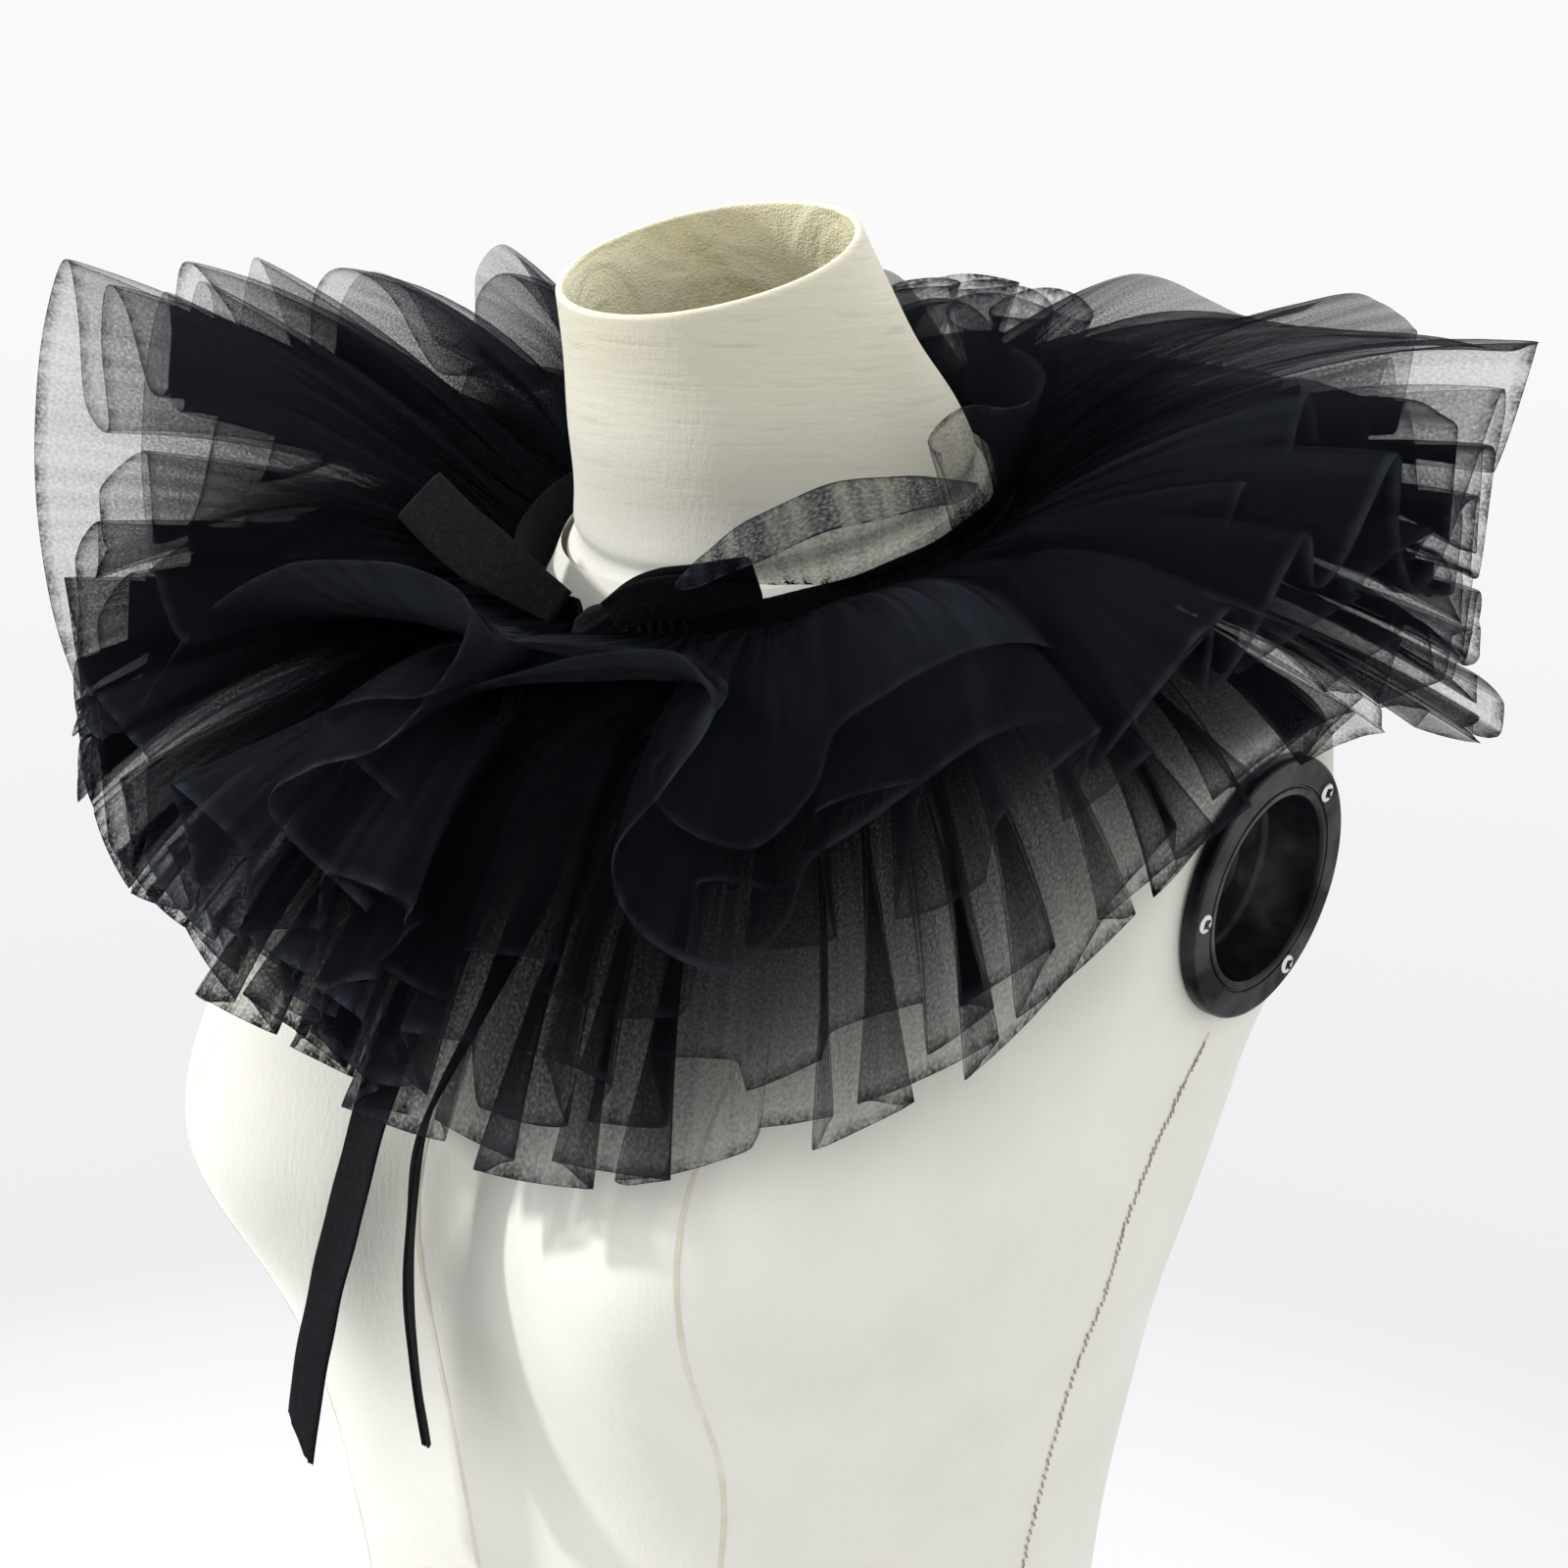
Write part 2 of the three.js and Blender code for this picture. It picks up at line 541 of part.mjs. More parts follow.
// A flattened ring of band: it runs out along the route, folds back and returns.
function loopGeometry(loop) {
  const { route, widthways } = stripCurves(loop);
  const length = route.getLength();
  const stations = [];
  for (const turned of [1, -1]) {
    for (let step = 0; step < LOOP.sidePoints; step += 1) {
      const share = step / (LOOP.sidePoints - 1);
      stations.push({ run: turned > 0 ? share : 1 - share, depth: turned, past: 0 });
    }
    for (let step = 1; step < LOOP.foldPoints; step += 1) {
      const swing = (step / LOOP.foldPoints) * Math.PI;
      const run = turned > 0 ? 1 : 0;
      stations.push({ run, depth: turned * Math.cos(swing), past: turned * Math.sin(swing) });
    }
  }
  const inset = LOOP.halfDepth / length;
  const rings = stations.map((station) => {
    const share = THREE.MathUtils.lerp(inset, 1 - inset, station.run);
    const { forward, face, across } = stripFrame(route, widthways, share);
    const half = 0.5 * THREE.MathUtils.lerp(loop.rootWidth, loop.width, Math.min(1, share * 2.5));
    const corner = (radius, side) => route.getPoint(share)
      .addScaledVector(face, station.depth * radius)
      .addScaledVector(forward, station.past * radius)
      .addScaledVector(across, side * half);
    const inner = LOOP.halfDepth - BOW_WALL;
    return [corner(LOOP.halfDepth, -1), corner(LOOP.halfDepth, 1), corner(inner, 1), corner(inner, -1)];
  });
  return ringLoft(rings, true);
}

function tailGeometry(tail) {
  const { route, widthways } = stripCurves(tail);
  const pointAt = (share, across) => {
    const spread = THREE.MathUtils.smoothstep(share, 0.1, 0.4);
    const width = THREE.MathUtils.lerp(tail.rootWidth, tail.width, spread);
    const direction = stripFrame(route, widthways, share).across;
    return route.getPoint(share).addScaledVector(direction, (across - 0.5) * width);
  };
  const normalAt = (share) => stripFrame(route, widthways, share).face;
  return wallGeometry(tail.steps, 1, pointAt, normalAt, BOW_WALL);
}

// ---------- assembly ----------

const FINISHES = {
  jersey: { color: 0xe6e4da, roughness: 0.85, metalness: 0 },
  plastic: { color: 0x101316, roughness: 0.35, metalness: 0 },
  tulle: { color: 0x15171b, roughness: 0.8, metalness: 0 },
  band: { color: 0x0e0f12, roughness: 0.9, metalness: 0 },
};

const collar = new THREE.Group();

function addPiece(name, geometry, finish) {
  const material = new THREE.MeshStandardMaterial({ ...FINISHES[finish], flatShading: true });
  const mesh = new THREE.Mesh(geometry, material);
  mesh.name = name;
  collar.add(mesh);
}

addPiece('form_torso', torsoGeometry(), 'jersey');
addPiece('form_neck', neckGeometry(), 'jersey');
addPiece('arm_plate_left', plateGeometry(1), 'plastic');
addPiece('arm_plate_right', plateGeometry(-1), 'plastic');
addPiece('tie_band', bandGeometry(), 'band');
addPiece('bow_knot', knotGeometry(), 'band');
for (const loop of BOW_LOOPS) addPiece(loop.name, loopGeometry(loop), 'band');
for (const tail of BOW_TAILS) addPiece(tail.name, tailGeometry(tail), 'band');
for (const course of COURSES) addPiece(course.name, courseGeometry(course), 'tulle');
addPiece(FRILL.name, frillGeometry(), 'tulle');

export default collar;
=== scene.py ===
"""Tulle ruffle collar with a tied jersey band, on a limbless dress form.

Metres, +Z up, front towards -Y, the wearer's left towards +X.
Directions round the neck are degrees from the centre front, growing towards the wearer's left.
Shapes are worked out in millimetres, as in the part's source, and scaled once when a mesh is made.
"""
import math

import bpy
import numpy as np
from mathutils import Matrix, Vector


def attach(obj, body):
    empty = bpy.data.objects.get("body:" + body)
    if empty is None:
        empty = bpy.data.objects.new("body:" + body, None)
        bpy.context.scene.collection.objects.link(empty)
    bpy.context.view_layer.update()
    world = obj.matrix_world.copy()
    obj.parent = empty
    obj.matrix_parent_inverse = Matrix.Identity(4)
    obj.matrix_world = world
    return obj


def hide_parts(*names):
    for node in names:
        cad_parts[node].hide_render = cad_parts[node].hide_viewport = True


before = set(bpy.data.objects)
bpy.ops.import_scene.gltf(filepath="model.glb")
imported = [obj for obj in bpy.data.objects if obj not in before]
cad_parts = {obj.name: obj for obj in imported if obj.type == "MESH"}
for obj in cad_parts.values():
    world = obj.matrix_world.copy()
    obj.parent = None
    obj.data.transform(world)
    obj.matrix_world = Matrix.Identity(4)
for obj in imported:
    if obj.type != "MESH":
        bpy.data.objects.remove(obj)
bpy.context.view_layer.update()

MM = 0.001
BODY = "root"

# ---- sizes shared with the solids

TORSO_COLUMNS = ("height", "half_width", "half_depth", "centre_y", "tilt")
TORSO_SECTIONS = [
    (0, 160, 118, 0, 0),
    (60, 157, 116, 0, 0),
    (120, 143, 109, -4, 0),
    (168, 137, 106, -7, 0),
    (215, 141, 110, -10, 0),
    (262, 149, 114, -10, 0),
    (305, 158, 116, -8, 0),
    (340, 170, 115, -6, 0),
    (372, 180, 111, -2, 0),
    (400, 188, 106, 3, 0),
    (428, 201, 100, 8, 0),
    (452, 207, 95, 12, 0),
    (474, 204, 89, 13, 3),
    (490, 200, 83, 13, 5),
    (501, 186, 78, 12, 7),
    (510, 152, 75, 11, 10),
    (517.5, 112, 73, 10, 14),
    (524.5, 83.6, 71, 10, 18),
    (538, 75, 69, 11, 19),
    (550.5, 70, 66, 12, 19.3),
]
SECTION_POWER = 2.3
BUST = {"offset_x": 100, "height": 352, "spread_x": 53, "spread_z": 49, "depth": 53}
# The shoulders sit behind the middle of the chest.
SHOULDER = {"inner_x": 100, "outer_x": 180, "low_z": 380, "high_z": 440, "back": 13}

NECK_COLUMNS = ("y", "z", "radius", "tilt")
NECK_RINGS = [
    (12, 550.8, 69.5, 19.3),
    (6, 568, 65, 19.4),
    (-7, 590, 58.5, 19.6),
    (-16.5, 611, 53.5, 19.8),
    (-26.1, 630.6, 49.6, 19.9),
]

PLATE = {"x": 188.1, "y": 24.4, "z": 448.9, "radius": 42.3, "thickness": 5, "droop": 8.3}
SOCKET = {"radius": 30, "depth": 21, "wall": 2}
SCREW_DIRECTIONS = (96.0, 216.0, 318.0)
SCREW_CIRCLE = 36.6
SCREW_SIDES = 24

NECKLINE = {"y": 3.5, "z": 552.2, "radius": 82, "tilt": 19.3}
BAND = {"width": 22, "thickness": 1.8, "open_half_angle": 6.5}

HEM_COLUMNS = ("angle", "low_radius", "low_rise", "high_radius", "high_rise", "low_bulge", "high_bulge")
HEM_COURSE = [
    (-180, 232, 520, 224, 628, 4, 16),
    (-140, 238, 505, 230, 622, 4, 16),
    (-110, 242, 486, 236, 618, 5, 18),
    (-80, 244, 468, 240, 606, 8, 14),
    (-55, 230, 446, 238, 582, 12, 6),
    (-35, 206, 414, 220, 544, 14, 4),
    (-15, 188, 398, 204, 508, 12, 8),
    (0, 182, 392, 196, 494, 10, 28),
    (20, 186, 380, 198, 486, 10, 26),
    (40, 193, 380, 202, 488, 10, 34),
    (60, 198, 412, 212, 510, 12, 34),
    (75, 206, 464, 226, 550, 16, 30),
    (90, 220, 508, 240, 592, 10, 26),
    (110, 238, 488, 248, 614, 6, 20),
    (135, 242, 488, 246, 618, 5, 18),
    (160, 236, 506, 232, 626, 4, 16),
    (180, 232, 520, 224, 628, 4, 16),
]

# ---- number helpers


def column(table, names, name):
    return np.array([row[names.index(name)] for row in table], dtype=float)


def smoothstep(x, low, high):
    t = np.clip((x - low) / (high - low), 0.0, 1.0)
    return t * t * (3.0 - 2.0 * t)


def lerp(a, b, t):
    return a + (b - a) * t


def cubic(table, names, key, name, at):
    """A smooth curve through a table's column (Catmull-Rom on uneven keys, flat ends)."""
    xs = column(table, names, key)
    ys = column(table, names, name)
    slopes = np.gradient(ys, xs)
    index = np.clip(np.searchsorted(xs, at, side="right") - 1, 0, len(xs) - 2)
    width = xs[index + 1] - xs[index]
    t = np.clip((at - xs[index]) / width, 0.0, 1.0)
    a, b = ys[index], ys[index + 1]
    ma, mb = slopes[index] * width, slopes[index + 1] * width
    return (
        (2 * t**3 - 3 * t**2 + 1) * a
        + (t**3 - 2 * t**2 + t) * ma
        + (-2 * t**3 + 3 * t**2) * b
        + (t**3 - t**2) * mb
    )


def smooth_path(points, count):
    """A Catmull-Rom curve through a short list, evenly spaced by the list's index."""
    points = np.array(points, dtype=float)
    at = np.linspace(0, len(points) - 1, count)
    keys = np.arange(len(points), dtype=float)
    table = [(k, *row) for k, row in zip(keys, points)]
    names = ("key", *[f"c{i}" for i in range(points.shape[1])])
    return np.stack([cubic(table, names, "key", name, at) for name in names[1:]], axis=-1)


def unit(v):
    return v / np.maximum(np.linalg.norm(v, axis=-1, keepdims=True), 1e-9)


def circle(count):
    """Directions round a full turn, in radians."""
    return np.linspace(0, 2 * math.pi, count, endpoint=False)


def squared_off(x, power):
    """A sine or cosine drawn towards -1 and 1, for a section with flat sides."""
    return np.sign(x) * np.abs(x) ** power


# ---- mesh helpers


def new_object(name, points, faces, uvs=None, smooth=True):
    """points are millimetres; uvs, one pair per point, are millimetres of cloth."""
    mesh = bpy.data.meshes.new(name)
    mesh.from_pydata((np.asarray(points, dtype=float) * MM).tolist(), [], faces)
    if uvs is not None:
        layer = mesh.uv_layers.new(name="cloth")
        corners = np.empty(len(mesh.loops), dtype=np.int32)
        mesh.loops.foreach_get("vertex_index", corners)
        layer.data.foreach_set("uv", (np.asarray(uvs, dtype=float)[corners] * MM).ravel())
    if smooth:
        mesh.polygons.foreach_set("use_smooth", [True] * len(mesh.polygons))
    mesh.update()
    obj = bpy.data.objects.new(name, mesh)
    bpy.context.scene.collection.objects.link(obj)
    return obj


def grid_faces(rows, columns, wrap_rows=False, wrap_columns=False, start=0):
    r = np.arange(rows if wrap_rows else rows - 1)
    c = np.arange(columns if wrap_columns else columns - 1)
    rr, cc = np.meshgrid(r, c, indexing="ij")
    rn, cn = (rr + 1) % rows, (cc + 1) % columns
    quads = np.stack([rr * columns + cc, rn * columns + cc, rn * columns + cn, rr * columns + cn], axis=-1)
    return (quads.reshape(-1, 4) + start).tolist()


def grid_object(name, points, uvs=None, wrap_rows=False, wrap_columns=False):
    rows, columns = points.shape[:2]
    faces = grid_faces(rows, columns, wrap_rows, wrap_columns)
    flat_uvs = None if uvs is None else uvs.reshape(-1, 2)
    return new_object(name, points.reshape(-1, 3), faces, flat_uvs)


def shade_net(obj, **shares):
    """Keep the shares that the tulle's material reads at each point: crowding, and crest, the share of
    painted highlight in the net's colour.
    """
    for name, values in shares.items():
        attribute = obj.data.attributes.new(name, "FLOAT", "POINT")
        attribute.data.foreach_set("value", np.asarray(values, dtype=np.float32).ravel())
    return obj


def dress(obj, slot, materials, *nodes):
    """Put a piece on the part's body, with its materials, in place of the nodes it stands for."""
    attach(obj, BODY)
    if nodes:
        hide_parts(*nodes)
    for material in materials:
        obj.data.materials.append(material)
    return obj


# ---- materials


class Nodes:
    """A short way to write a material's node tree."""

    def __init__(self, name, kind="Object"):
        self.material = bpy.data.materials.new(name)
        self.material.use_nodes = True
        self.tree = self.material.node_tree
        self.tree.nodes.clear()
        self.output = self.tree.nodes.new("ShaderNodeOutputMaterial")
        self.where = self.coordinates(kind)

    def add(self, kind, inputs=None, **settings):
        node = self.tree.nodes.new(kind)
        for name, value in settings.items():
            setattr(node, name, value)
        for name, value in (inputs or {}).items():
            socket = node.inputs[name]
            if isinstance(value, bpy.types.NodeSocket):
                self.tree.links.new(value, socket)
            else:
                socket.default_value = value
        return node

    def math(self, operation, a, b=0.0, clamp=False):
        node = self.add("ShaderNodeMath", {0: a, 1: b}, operation=operation, use_clamp=clamp)
        return node.outputs[0]

    def ramp(self, factor, stops):
        node = self.add("ShaderNodeValToRGB", {"Fac": factor})
        elements = node.color_ramp.elements
        while len(elements) < len(stops):
            elements.new(0.5)
        for element, (position, colour) in zip(elements, stops):
            element.position = position
            element.color = (*colour, 1.0)
        return node.outputs["Color"]

    def map_range(self, value, low, high, to_low, to_high):
        node = self.add("ShaderNodeMapRange", {0: value, 1: low, 2: high, 3: to_low, 4: to_high})
        return node.outputs[0]

    def coordinates(self, kind):
        return self.add("ShaderNodeTexCoord").outputs[kind]

    def noise(self, scale, detail, distortion=0.0, where=None):
        inputs = {"Scale": scale, "Detail": detail, "Distortion": distortion}
        inputs["Vector"] = self.where if where is None else where
        return self.add("ShaderNodeTexNoise", inputs).outputs["Fac"]

    def scaled(self, *scale):
        return self.add("ShaderNodeMapping", {"Vector": self.where, "Scale": scale}).outputs[0]

    def blend(self, a, share, b, other_share):
        first = self.math("MULTIPLY", a, share)
        return self.math("ADD", first, self.math("MULTIPLY", b, other_share))

    def bump(self, height, strength, distance):
        inputs = {"Strength": strength, "Distance": distance, "Height": height}
        return self.add("ShaderNodeBump", inputs).outputs[0]

    def mix(self, share, colour, other):
        inputs = {0: share, 6: colour, 7: (*other, 1.0)}
        return self.add("ShaderNodeMix", inputs, data_type="RGBA").outputs[2]

    def surface(self, inputs):
        return self.finish(self.add("ShaderNodeBsdfPrincipled", inputs).outputs[0])

    def finish(self, shader):
        self.tree.links.new(shader, self.output.inputs["Surface"])
        return self.material


def jersey_material():
    """Cream cotton jersey: fine knit ribs, a slight mottle and soft nap."""
    n = Nodes("cream_jersey")
    mottle = n.noise(18.0, 4.0)
    fine = n.noise(900.0, 2.0)
    ribs = n.noise(620.0, 2.0, where=n.scaled(1.0, 1.0, 0.14))
    height = n.add("ShaderNodeSeparateXYZ", {"Vector": n.where}).outputs["Z"]
    colour = n.ramp(mottle, [(0.3, (0.735, 0.725, 0.655)), (0.7, (0.815, 0.805, 0.745))])
    # Towards the neck the cream turns darker and yellower: partly the cover's own yellowing, partly painted
    # shade under the ruffle.
    neck = n.map_range(height, 0.53, 0.60, 0.0, 1.0)
    neck_yellowing_and_shade = n.mix(neck, colour, (0.69, 0.66, 0.52))
    courses = n.noise(1.0, 3.0, where=n.scaled(30.0, 30.0, 420.0))
    line = n.math("MULTIPLY", neck, n.map_range(courses, 0.42, 0.3, 0.0, 0.5))
    neck_yellowing_and_shade = n.mix(line, neck_yellowing_and_shade, (0.50, 0.47, 0.35))
    grain = n.blend(ribs, 0.7, fine, 0.5)
    grain = n.blend(grain, 1.0, n.math("MULTIPLY", courses, neck), 1.2)
    bump = n.bump(grain, 0.35, 0.0006)
    return n.surface({
        "Base Color": neck_yellowing_and_shade, "Roughness": 0.86, "Normal": bump, "Sheen Weight": 0.25, "Sheen Roughness": 0.5,
    })


def mottled_material(name, scale, detail, stops, roughness):
    n = Nodes(name)
    return n.surface({"Base Color": n.ramp(n.noise(scale, detail), stops), "Roughness": roughness})


def seam_material():
    stops = [(0.35, (0.65, 0.62, 0.50)), (0.65, (0.77, 0.75, 0.66))]
    return mottled_material("seam_jersey", 60.0, 4.0, stops, 0.88)


def thread_material():
    stops = [(0.3, (0.22, 0.19, 0.12)), (0.7, (0.42, 0.38, 0.27))]
    return mottled_material("seam_thread", 400.0, 2.0, stops, 0.8)


def lining_material():
    """The neck's inside: yellowed, crumpled lining cloth."""
    n = Nodes("neck_lining")
    creased = n.noise(26.0, 3.0, 1.2)
    weave = n.noise(1100.0, 2.0)
    colour = n.ramp(creased, [(0.3, (0.80, 0.745, 0.49)), (0.7, (0.92, 0.885, 0.68))])
    grain = n.blend(creased, 9.0, weave, 1.0)
    bump = n.bump(grain, 0.6, 0.0012)
    return n.surface({"Base Color": colour, "Roughness": 0.9, "Normal": bump})


def plastic_material():
    """Black moulded plastic with fine scuffs."""
    n = Nodes("black_plastic")
    scuffs = n.noise(260.0, 6.0)
    smudges_and_sheen = n.noise(30.0, 3.0)
    rough = n.map_range(scuffs, 0.3, 0.7, 0.25, 0.42)
    bump = n.bump(scuffs, 0.12, 0.0003)
    stops = [(0.45, (0.0022, 0.0032, 0.0042)), (0.62, (0.006, 0.008, 0.010)), (0.72, (0.03, 0.034, 0.038))]
    # Lighter patches: partly smudges on the plastic, partly painted sheen in the colour.
    colour = n.ramp(smudges_and_sheen, stops)
    gloss = n.map_range(smudges_and_sheen, 0.4, 0.7, 0.04, 0.45)
    return n.surface({"Base Color": colour, "Roughness": rough, "Normal": bump, "Specular IOR Level": gloss})


def steel_material():
    n = Nodes("screw_steel")
    brushed = n.noise(2200.0, 3.0)
    rough = n.map_range(brushed, 0.3, 0.7, 0.2, 0.4)
    return n.surface({"Base Color": (0.72, 0.73, 0.75, 1.0), "Metallic": 1.0, "Roughness": rough})


def band_material():
    """Matt black cotton jersey: knit ribs along the strip and a faint bloom of lint."""
    n = Nodes("black_jersey")
    knit = {"Vector": n.coordinates("UV"), "Scale": 420.0, "Distortion": 1.5, "Detail": 2.0}
    ribs = n.add("ShaderNodeTexWave", knit, bands_direction="Y").outputs["Fac"]
    lint = n.noise(700.0, 5.0)
    stops = [
        (0.35, (0.0032, 0.0034, 0.0042)), (0.62, (0.0062, 0.0066, 0.0078)), (0.8, (0.014, 0.0148, 0.017)),
    ]
    tone = n.ramp(lint, stops)
    grain = n.blend(ribs, 0.25, lint, 0.8)
    bump = n.bump(grain, 0.3, 0.0004)
    return n.surface({
        "Base Color": tone, "Roughness": 0.92, "Normal": bump, "Specular IOR Level": 0.06,
        "Sheen Weight": 0.03, "Sheen Roughness": 0.45, "Sheen Tint": (0.55, 0.6, 0.7, 1.0),
    })


def tulle_material():
    """Black nylon tulle, doubled and gathered.

    UV runs in metres: U along the gathered strip, V from the neckline to the hem. The net lets
    light through. The attribute "crowding" holds how much of it the gathers close, and the cloth
    also closes where it turns edge on, so that folds draw as dark lines. The attribute "crest"
    paints a highlight into the threads' colour, from near black towards slate blue.
    """
    n = Nodes("black_tulle", "UV")
    speck = n.noise(850.0, 0.0)
    net = n.map_range(speck, 0.3, 0.7, 0.6, 1.45)
    streak = n.noise(1.0, 0.0, where=n.scaled(230.0, 9.0, 1.0))
    crowd = n.add("ShaderNodeAttribute", attribute_name="crowding").outputs["Fac"]
    gathered = n.math("MULTIPLY", crowd, n.map_range(streak, 0.3, 0.7, -0.8, 1.3))
    streaks = n.math("ADD", gathered, 1.0)
    crest = n.add("ShaderNodeAttribute", attribute_name="crest").outputs["Fac"]
    facing = n.add("ShaderNodeLayerWeight", {"Blend": 0.5}).outputs["Facing"]
    edge_on = n.math("MULTIPLY", n.math("POWER", facing, 3.2), 0.55)
    covered = n.math("MULTIPLY", n.math("MULTIPLY", crowd, net), streaks)
    alpha = n.math("ADD", covered, edge_on, clamp=True)
    # Painted highlight: crest, with the streaks, lightens the threads' colour towards slate blue.
    painted_highlight = n.math("MULTIPLY", crest, streaks, clamp=True)
    colour = n.ramp(painted_highlight, [(0.0, (0.0042, 0.0045, 0.0058)), (1.0, (0.028, 0.0335, 0.0425))])
    net_threads = n.add("ShaderNodeBsdfDiffuse", {"Color": colour, "Roughness": 0.3}).outputs[0]
    holes = n.add("ShaderNodeBsdfTransparent").outputs[0]
    return n.finish(n.add("ShaderNodeMixShader", {0: alpha, 1: holes, 2: net_threads}).outputs[0])


def floor_material():
    """A pale sweep: matt round the form, and even and white further off."""
    n = Nodes("pale_floor")
    soft = n.noise(3.0, 2.0)
    colour = n.ramp(soft, [(0.3, (0.70, 0.705, 0.72)), (0.7, (0.73, 0.735, 0.745))])
    matt = n.add("ShaderNodeBsdfPrincipled", {"Base Color": colour, "Roughness": 0.9}).outputs[0]
    away = n.add("ShaderNodeVectorMath", {0: n.where}, operation="LENGTH").outputs["Value"]
    tone = n.ramp(
        n.map_range(away, 0.0, 9.0, 0.0, 1.0),
        [
            (0.0, (0.80, 0.81, 0.82)), (0.12, (0.87, 0.875, 0.885)),
            (0.35, (0.92, 0.922, 0.928)), (0.9, (0.95, 0.95, 0.95)),
        ],
    )
    even = n.add("ShaderNodeEmission", {"Color": tone, "Strength": 1.0}).outputs[0]
    share = n.map_range(away, 0.25, 0.75, 0.0, 1.0)
    return n.finish(n.add("ShaderNodeMixShader", {0: share, 1: matt, 2: even}).outputs[0])


# ---- the dress form


def torso_points(heights_share, angles):
    """The form's skin: rows of sections (0 at the base, 1 at the neck seam) by directions in radians."""
    keys = np.arange(len(TORSO_SECTIONS), dtype=float)
    table = [(k, *row) for k, row in zip(keys, TORSO_SECTIONS)]
    names = ("key", *TORSO_COLUMNS)
    at = heights_share * keys[-1]
    height, half_width, half_depth, centre_y, tilt = (
        cubic(table, names, "key", name, at)[:, None] for name in TORSO_COLUMNS
    )
    across, ahead = np.sin(angles)[None, :], np.cos(angles)[None, :]
    power = 2.0 / SECTION_POWER
    x = half_width * squared_off(across, power)
    y = -half_depth * squared_off(ahead, power)
    z = height + np.tan(np.radians(tilt)) * y
    front = smoothstep(-y / half_depth, 0.1, 0.7)
    side = np.abs(x) - BUST["offset_x"]
    fall = (side / BUST["spread_x"]) ** 2 + ((z - BUST["height"]) / BUST["spread_z"]) ** 2
    outwards = smoothstep(np.abs(x), SHOULDER["inner_x"], SHOULDER["outer_x"])
    shoulder = SHOULDER["back"] * outwards * smoothstep(height, SHOULDER["low_z"], SHOULDER["high_z"])
    y = centre_y + y + shoulder - front * BUST["depth"] * np.exp(-0.5 * fall)
    return np.stack([x, y, z], axis=-1)


def plate_axis(side):
    droop = math.radians(PLATE["droop"])
    return np.array([side * math.cos(droop), 0.0, -math.sin(droop)])


def plate_centre(side):
    return np.array([side * PLATE["x"], PLATE["y"], PLATE["z"]])


# How the skin is pressed flat behind an arm plate: the softness of the edge, the gap behind the plate,
# and the distances from the plate's axis where the pressing begins to fade and ends.
PRESS = {"soft": 5.0, "gap": 0.3, "fades": 110, "ends": 150}


def trim_at_armholes(points):
    """Press the skin flat behind each arm plate, with a soft edge round the flat."""
    out = points.copy()
    soft = PRESS["soft"]
    for side in (-1, 1):
        axis = plate_axis(side)
        offset = out - plate_centre(side)
        ahead = offset @ axis + PLATE["thickness"] + PRESS["gap"]
        radial = np.linalg.norm(offset - (offset @ axis)[..., None] * axis, axis=-1)
        near = 1 - smoothstep(radial, PRESS["fades"], PRESS["ends"])
        pressed = -soft * np.logaddexp(0, -ahead / soft)
        out += ((pressed - ahead) * near)[..., None] * axis
    return out


def form_torso_skin():
    columns, rows = 300, 240
    angles = circle(columns)
    points = trim_at_armholes(torso_points(np.linspace(0, 1, rows), angles))
    faces = np.array(grid_faces(rows, columns, wrap_columns=True))
    flat = points.reshape(-1, 3)
    middles = flat[faces].mean(axis=1)
    keep = np.ones(len(faces), dtype=bool)
    for side in (-1, 1):
        offset = middles - plate_centre(side)
        along = offset @ plate_axis(side)
        radial = np.linalg.norm(offset - along[:, None] * plate_axis(side), axis=1)
        keep &= ~((radial < SOCKET["radius"] + SOCKET["wall"] + 2.5) & (np.abs(along) < 14))
    faces = faces[keep].tolist()
    faces.append(list(range(columns))[::-1])
    return new_object("form_torso_skin", flat, faces)


SEAM_COLUMNS = ("share", "direction")
# Each seam's way over the form: share of the rows from the base up, and direction in degrees.
SEAMS = {
    "centre_front": [(0.0, 0), (0.2, -1.5), (0.3, -4), (0.5, -3), (0.8, 0)],
    "centre_back": [(0.0, 180), (0.3, 180), (0.5, 180), (0.8, 180)],
}
PAIRED_SEAMS = {
    "princess": [
        (0.0, 29), (0.2, 32), (0.3, 37), (0.36, 36), (0.43, 31), (0.5, 27), (0.6, 25), (0.8, 24),
    ],
    "side": [(0.0, 86), (0.16, 85), (0.3, 86), (0.4, 89), (0.475, 93)],
    "back_princess": [(0.0, 146), (0.3, 144), (0.5, 141), (0.7, 143), (0.8, 148)],
}
for part, way in PAIRED_SEAMS.items():
    SEAMS[f"left_{part}"] = way
    SEAMS[f"right_{part}"] = [(share, -direction) for share, direction in way]


def seam_line(way, count):
    """Points along a seam with the skin's outward direction and the seam's own direction."""
    shares = np.linspace(way[0][0], way[-1][0], count)
    turns = np.radians(cubic(way, SEAM_COLUMNS, "share", "direction", shares))
    step = 0.004

    def skin_at(aside):
        spots = [torso_points(np.array([a]), np.array([b + aside])) for a, b in zip(shares, turns)]
        return np.stack([trim_at_armholes(spot)[0, 0] for spot in spots])

    here, beside = skin_at(0.0), skin_at(step)
    forward = unit(np.gradient(here, axis=0))
    outwards = unit(np.cross(unit(beside - here), forward))
    return here, outwards, forward


